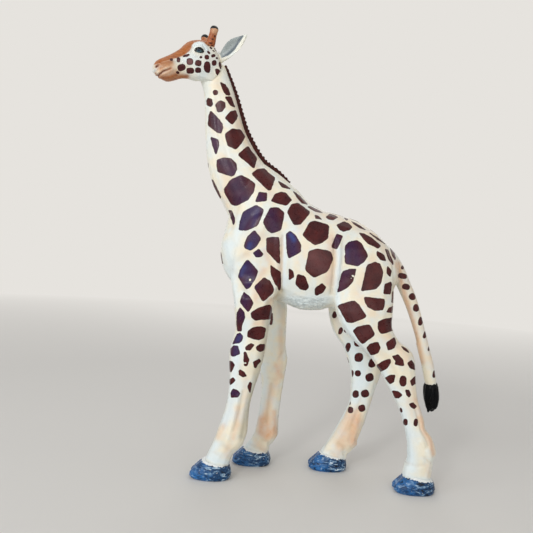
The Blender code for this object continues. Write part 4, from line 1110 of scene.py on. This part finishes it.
def makeHead():
    skin = moulded("headSkin", skull["nodes"], skull)
    points, normals = pointsOf(skin), normalsOf(skin)
    gaps = nodeGaps(points, skull["nodes"])
    places = headPlaces(points)
    eyeGap = patchDistance(places, [skull["eye"]])
    for k in skull["eyes"]:
        gaps[:, k] = np.where((eyeGap < 0) & (gaps[:, k] < 0.003), -1.0, 1.0)
    owner = gaps.argmin(1)
    isEye, isEar = np.isin(owner, skull["eyes"]), np.isin(owner, skull["ears"])
    onSkull = (owner == 0) | isEye
    points = np.where(isEar[:, None], relaxed(skin, points, skull["earRounds"], 0.0), points)
    points = pulled(points, photoPlace(points), pulls["jaw"])
    farSide = inHead(points)[:, 1] > 0
    points[farSide] = pulled(points[farSide], photoPlace(points[farSide]), pulls["farJaw"])
    points = pulled(points, places, pulls["head"])
    height = foldHeight(places, folds["head"]) * onSkull
    # Painted shade in the head's sculpted folds
    foldShade = np.clip(-height * 1.8, 0, 1)
    eyeHeight = skull["eyeBall"] * ease(-eyeGap, 0, 2.2) - skull["eyeSunk"]
    raised(skin, points, normals, np.where(isEye, eyeHeight, height))

    coat = (spotDistance(places, "head") - skull["brushWider"] * ease(places[:, 1], 50, 56)) * photoMm
    coat[isEar] = 2.0
    brown = ease(-patchDistance(places, [skull["brown"]]), -1.0, 0.8)
    brown = np.maximum(brown, softShade(places, shading["headBrown"]))
    mouthLine = folds["head"][0][0]
    mouth = foldHeight(places, [(mouthLine, 0.75, 1.0), (skull["lipCorner"], 1.2, 0.7)])
    nostril = softSpot(places, skull["nostril"], 2.0, 1.1, (0.8, 0.6))
    lip = np.clip(nostril * 1.2 + 0.8 * mouth * ease(172 - places[:, 0], 0, 8), 0, 1)
    cup, cupDark = earCups(normals, places, gaps, owner)
    along = np.zeros(len(points))
    for k in skull["horns"]:
        low, high = boxOf(skull["nodes"][k])
        along = np.where(owner == k, (points[:, 2] - low[2]) / (high[2] - low[2]), along)
    paler = [([(u, v)], width * 1.4, 0.8) for u, v, width, tall, turn in spots["paler"]]
    setFields(skin, {
        "patch": np.clip(coat, -2, 2), "paler": softShade(places, paler), "brown": brown * onSkull,
        "irisReflection": softSpot(places, skull["irisReflection"], 3.0, 1.6), "pupil": softSpot(places, skull["pupil"], 1.6, 1.6),
        "lip": np.where(owner == 0, lip, 0), "cup": cup, "cupDark": cupDark,
        "warm": np.where(onSkull, softShade(places, shading["headWarm"]), 0),
        "cool": np.where(onSkull, softShade(places, shading["headCool"]), 0.3),
        "foldShade": foldShade, "along": along, "band": ease(places[:, 0], 208.5, 214.5) * 0.9,
        **dict.fromkeys(("violet", "blue", "dull", "fur"), 0)})
    print("head painted")
    slots = {"left_ossicone": (hornPaint, "horn_paint"), "right_ossicone": (hornPaint, "horn_paint"),
             "left_eye": (eyePaint, "eye_gloss"), "right_eye": (eyePaint, "eye_gloss")}
    for nodeName, piece in splitUp(skin, skull["nodes"], gaps).items():
        material, slotName = slots.get(nodeName, (coatPaint, "coat_paint"))
        finishPiece(piece, material, nodeName)
    print("head split into", len(skull["nodes"]), "pieces")


makeHead()


# Hooves, mane and tuft

hoof = {
    "growth": {"rest": 0.00012}, "voxel": 0.00035, "rounds": 12,
    "ringHeight": 0.06, "ringMm": 1.3, "roughHeight": 0.05,
    "topLine": ((0.0, 0.25, 0.6, 1.0), (1.1, 0.97, 0.84, 0.80))}       # shares of its length and height
mane = {"growth": {"rest": 0.0005}, "voxel": 0.00026, "rounds": 4, "lockHeight": 0.16}
tuft = {"growth": {"rest": 0.00015}, "voxel": 0.00028, "rounds": 5, "strandHeight": 0.30, "lobeMm": 1.7}


def finishShell(piece, material, nodeName):
    onlySelect(piece)
    bpy.ops.object.shade_smooth()
    finishPiece(piece, material, nodeName)


def makeHooves():
    for nodeName in ("front_left_hoof", "front_right_hoof", "hind_left_hoof", "hind_right_hoof"):
        piece = moulded(nodeName + "Shell", [nodeName], hoof)
        points, normals = pointsOf(piece), normalsOf(piece)
        low, high = boxOf(nodeName)
        rings = np.sin(points[:, 2] * 1000 / hoof["ringMm"] * math.tau + bumpy(points, 9.0, 5))
        wall = ease(points[:, 2], 0.0006, 0.002)
        height = hoof["ringHeight"] * rings + hoof["roughHeight"] * bumpy(points, 1.8, 7)
        raised(piece, points, normals, height * wall)
        share = (points - low) / (high - low)
        setFields(piece, {
            "heel": ease(share[:, 0] + 0.15 * share[:, 2], 0.30, 0.85),
            "splash": ease(share[:, 2] - np.interp(share[:, 0], *hoof["topLine"]), -0.09, 0.03)})
        finishShell(piece, hoofPaint, nodeName)
    print("hooves made")


def makeMane():
    piece = moulded("maneRidge", ["mane"], mane)
    points, normals = pointsOf(piece), normalsOf(piece)
    raised(piece, points, normals, mane["lockHeight"] * bumpy(points * (1.6, 1.0, 1.6), 1.5, 11))
    finishShell(piece, manePaint, "mane")
    print("mane made")


def makeTuft():
    piece = moulded("tuftLocks", ["tail_tuft"], tuft)
    points, normals = pointsOf(piece), normalsOf(piece)
    low, high = boxOf("tail_tuft")
    strands = bumpy(points * (1.0, 1.0, 0.12), 1.9, 13)
    points = points + normals * (tuft["strandHeight"] * strands)[:, None] / 1000
    # The lower end hangs in lobes
    lower = ease((high[2] - points[:, 2]) / (high[2] - low[2]), 0.55, 1.0)
    points[:, 2] -= tuft["lobeMm"] / 1000 * lower * np.clip(bumpy(points * (1.0, 1.0, 0.0), 4.6, 17), -0.8, 0.8)
    setPoints(piece, points)
    finishShell(piece, tuftPaint, "tail_tuft")
    print("tuft made")


makeHooves()
makeMane()
makeTuft()


# Floor, lights and camera

stage = {"floor": "#e6e3de", "reach": 4.0, "nearMetres": 0.35, "farMetres": 1.3}


def shownDirectly(tree):
    # 1 for a ray from the camera, a reflection or a glass, 0 for the light that falls on the figure
    path = addNode(tree, "ShaderNodeLightPath")
    seen = combine(tree, path.outputs["Is Camera Ray"], path.outputs["Is Glossy Ray"], "MAXIMUM")
    return combine(tree, seen, path.outputs["Is Transmission Ray"], "MAXIMUM")


def makeStage():
    # A wide pale floor that takes the figure's shadow and runs out into the pale background
    bpy.ops.object.select_all(action="DESELECT")
    bpy.ops.mesh.primitive_circle_add(vertices=64, radius=stage["reach"], fill_type="NGON")
    floor = bpy.context.active_object
    floor.name = "studioFloor"
    material, tree, shader = newMaterial("paleStudioPaper")
    finishPaint(tree, shader, colour(stage["floor"]), 0.9, 0.1)
    place = addNode(tree, "ShaderNodeTexCoord").outputs["Object"]
    far = addNode(tree, "ShaderNodeVectorMath", {"operation": "LENGTH"}, {0: place}).outputs["Value"]
    out = combine(tree, ramp(tree, far, stage["nearMetres"], stage["farMetres"]), shownDirectly(tree))
    glow = addNode(tree, "ShaderNodeEmission", {"Color": colour(stage["floor"])}).outputs["Emission"]
    mixed = addNode(tree, "ShaderNodeMixShader", {}, {0: out, 1: shader.outputs["BSDF"], 2: glow}).outputs["Shader"]
    tree.links.new(mixed, tree.nodes["Material Output"].inputs["Surface"])
    floor.data.materials.append(material)


# Place, the point that the lamp looks at, side of its square, power and tint
lamps = {
    "key": ((-0.85, -1.00, 0.55), (0.0, 0.0, 0.13), 1.3, 9.2, (0.94, 0.97, 1.0)),
    "fill": ((0.30, -1.20, 0.18), (0.0, 0.0, 0.12), 0.9, 3.2, (1.0, 0.97, 0.92)),
    "top": ((0.10, 0.05, 1.20), (0.0, 0.0, 0.12), 0.9, 1.8, (1.0, 1.0, 1.0)),
    "back": ((0.1, 1.0, 0.5), (0.0, 0.0, 0.12), 0.9, 2.2, (1.0, 1.0, 1.0)),
    "glint": ((-0.42, -0.85, 0.50), (0.0, 0.0, 0.13), 0.14, 1.5, (1.0, 1.0, 1.0))}
airLight = 0.34         # strength of the even light from all round


def makeLights():
    for name, (place, aim, size, power, tint) in lamps.items():
        data = bpy.data.lights.new(name + "Softbox", "AREA")
        data.shape = "SQUARE"
        data.size = size
        data.energy = power
        data.color = tint
        light = bpy.data.objects.new(name + "Softbox", data)
        light.location = place
        light.rotation_euler = (Vector(aim) - Vector(place)).to_track_quat("-Z", "Y").to_euler()
        bpy.context.scene.collection.objects.link(light)
    world = bpy.data.worlds.new("studioAir")
    world.use_nodes = True
    tree = world.node_tree
    light = tree.nodes["Background"]
    light.inputs["Color"].default_value = (1.0, 1.0, 1.0, 1.0)
    light.inputs["Strength"].default_value = airLight
    shown = addNode(tree, "ShaderNodeBackground", {"Color": colour(stage["floor"])}).outputs["Background"]
    links = {0: shownDirectly(tree), 1: light.outputs["Background"], 2: shown}
    mixed = addNode(tree, "ShaderNodeMixShader", {}, links).outputs["Shader"]
    tree.links.new(mixed, tree.nodes["World Output"].inputs["Surface"])
    bpy.context.scene.world = world


def makeCamera():
    data = bpy.data.cameras.new("photoCamera")
    data.sensor_width = 36.0
    data.lens = camera["focus"] / camera["picture"] * data.sensor_width
    data.clip_start = 0.01
    lean = math.radians(camera["roll"])
    across = Vector((math.cos(lean), 0.0, math.sin(lean)))
    up = Vector((-math.sin(lean), 0.0, math.cos(lean)))
    back = Vector((0.0, -1.0, 0.0))
    made = bpy.data.objects.new("photoCamera", data)
    turn = Matrix((across, up, back)).transposed().to_4x4()
    made.matrix_world = Matrix.Translation(camera["place"]) @ turn
    bpy.context.scene.collection.objects.link(made)
    bpy.context.scene.camera = made


makeStage()
makeLights()
makeCamera()
bpy.context.scene.view_settings.view_transform = "Standard"
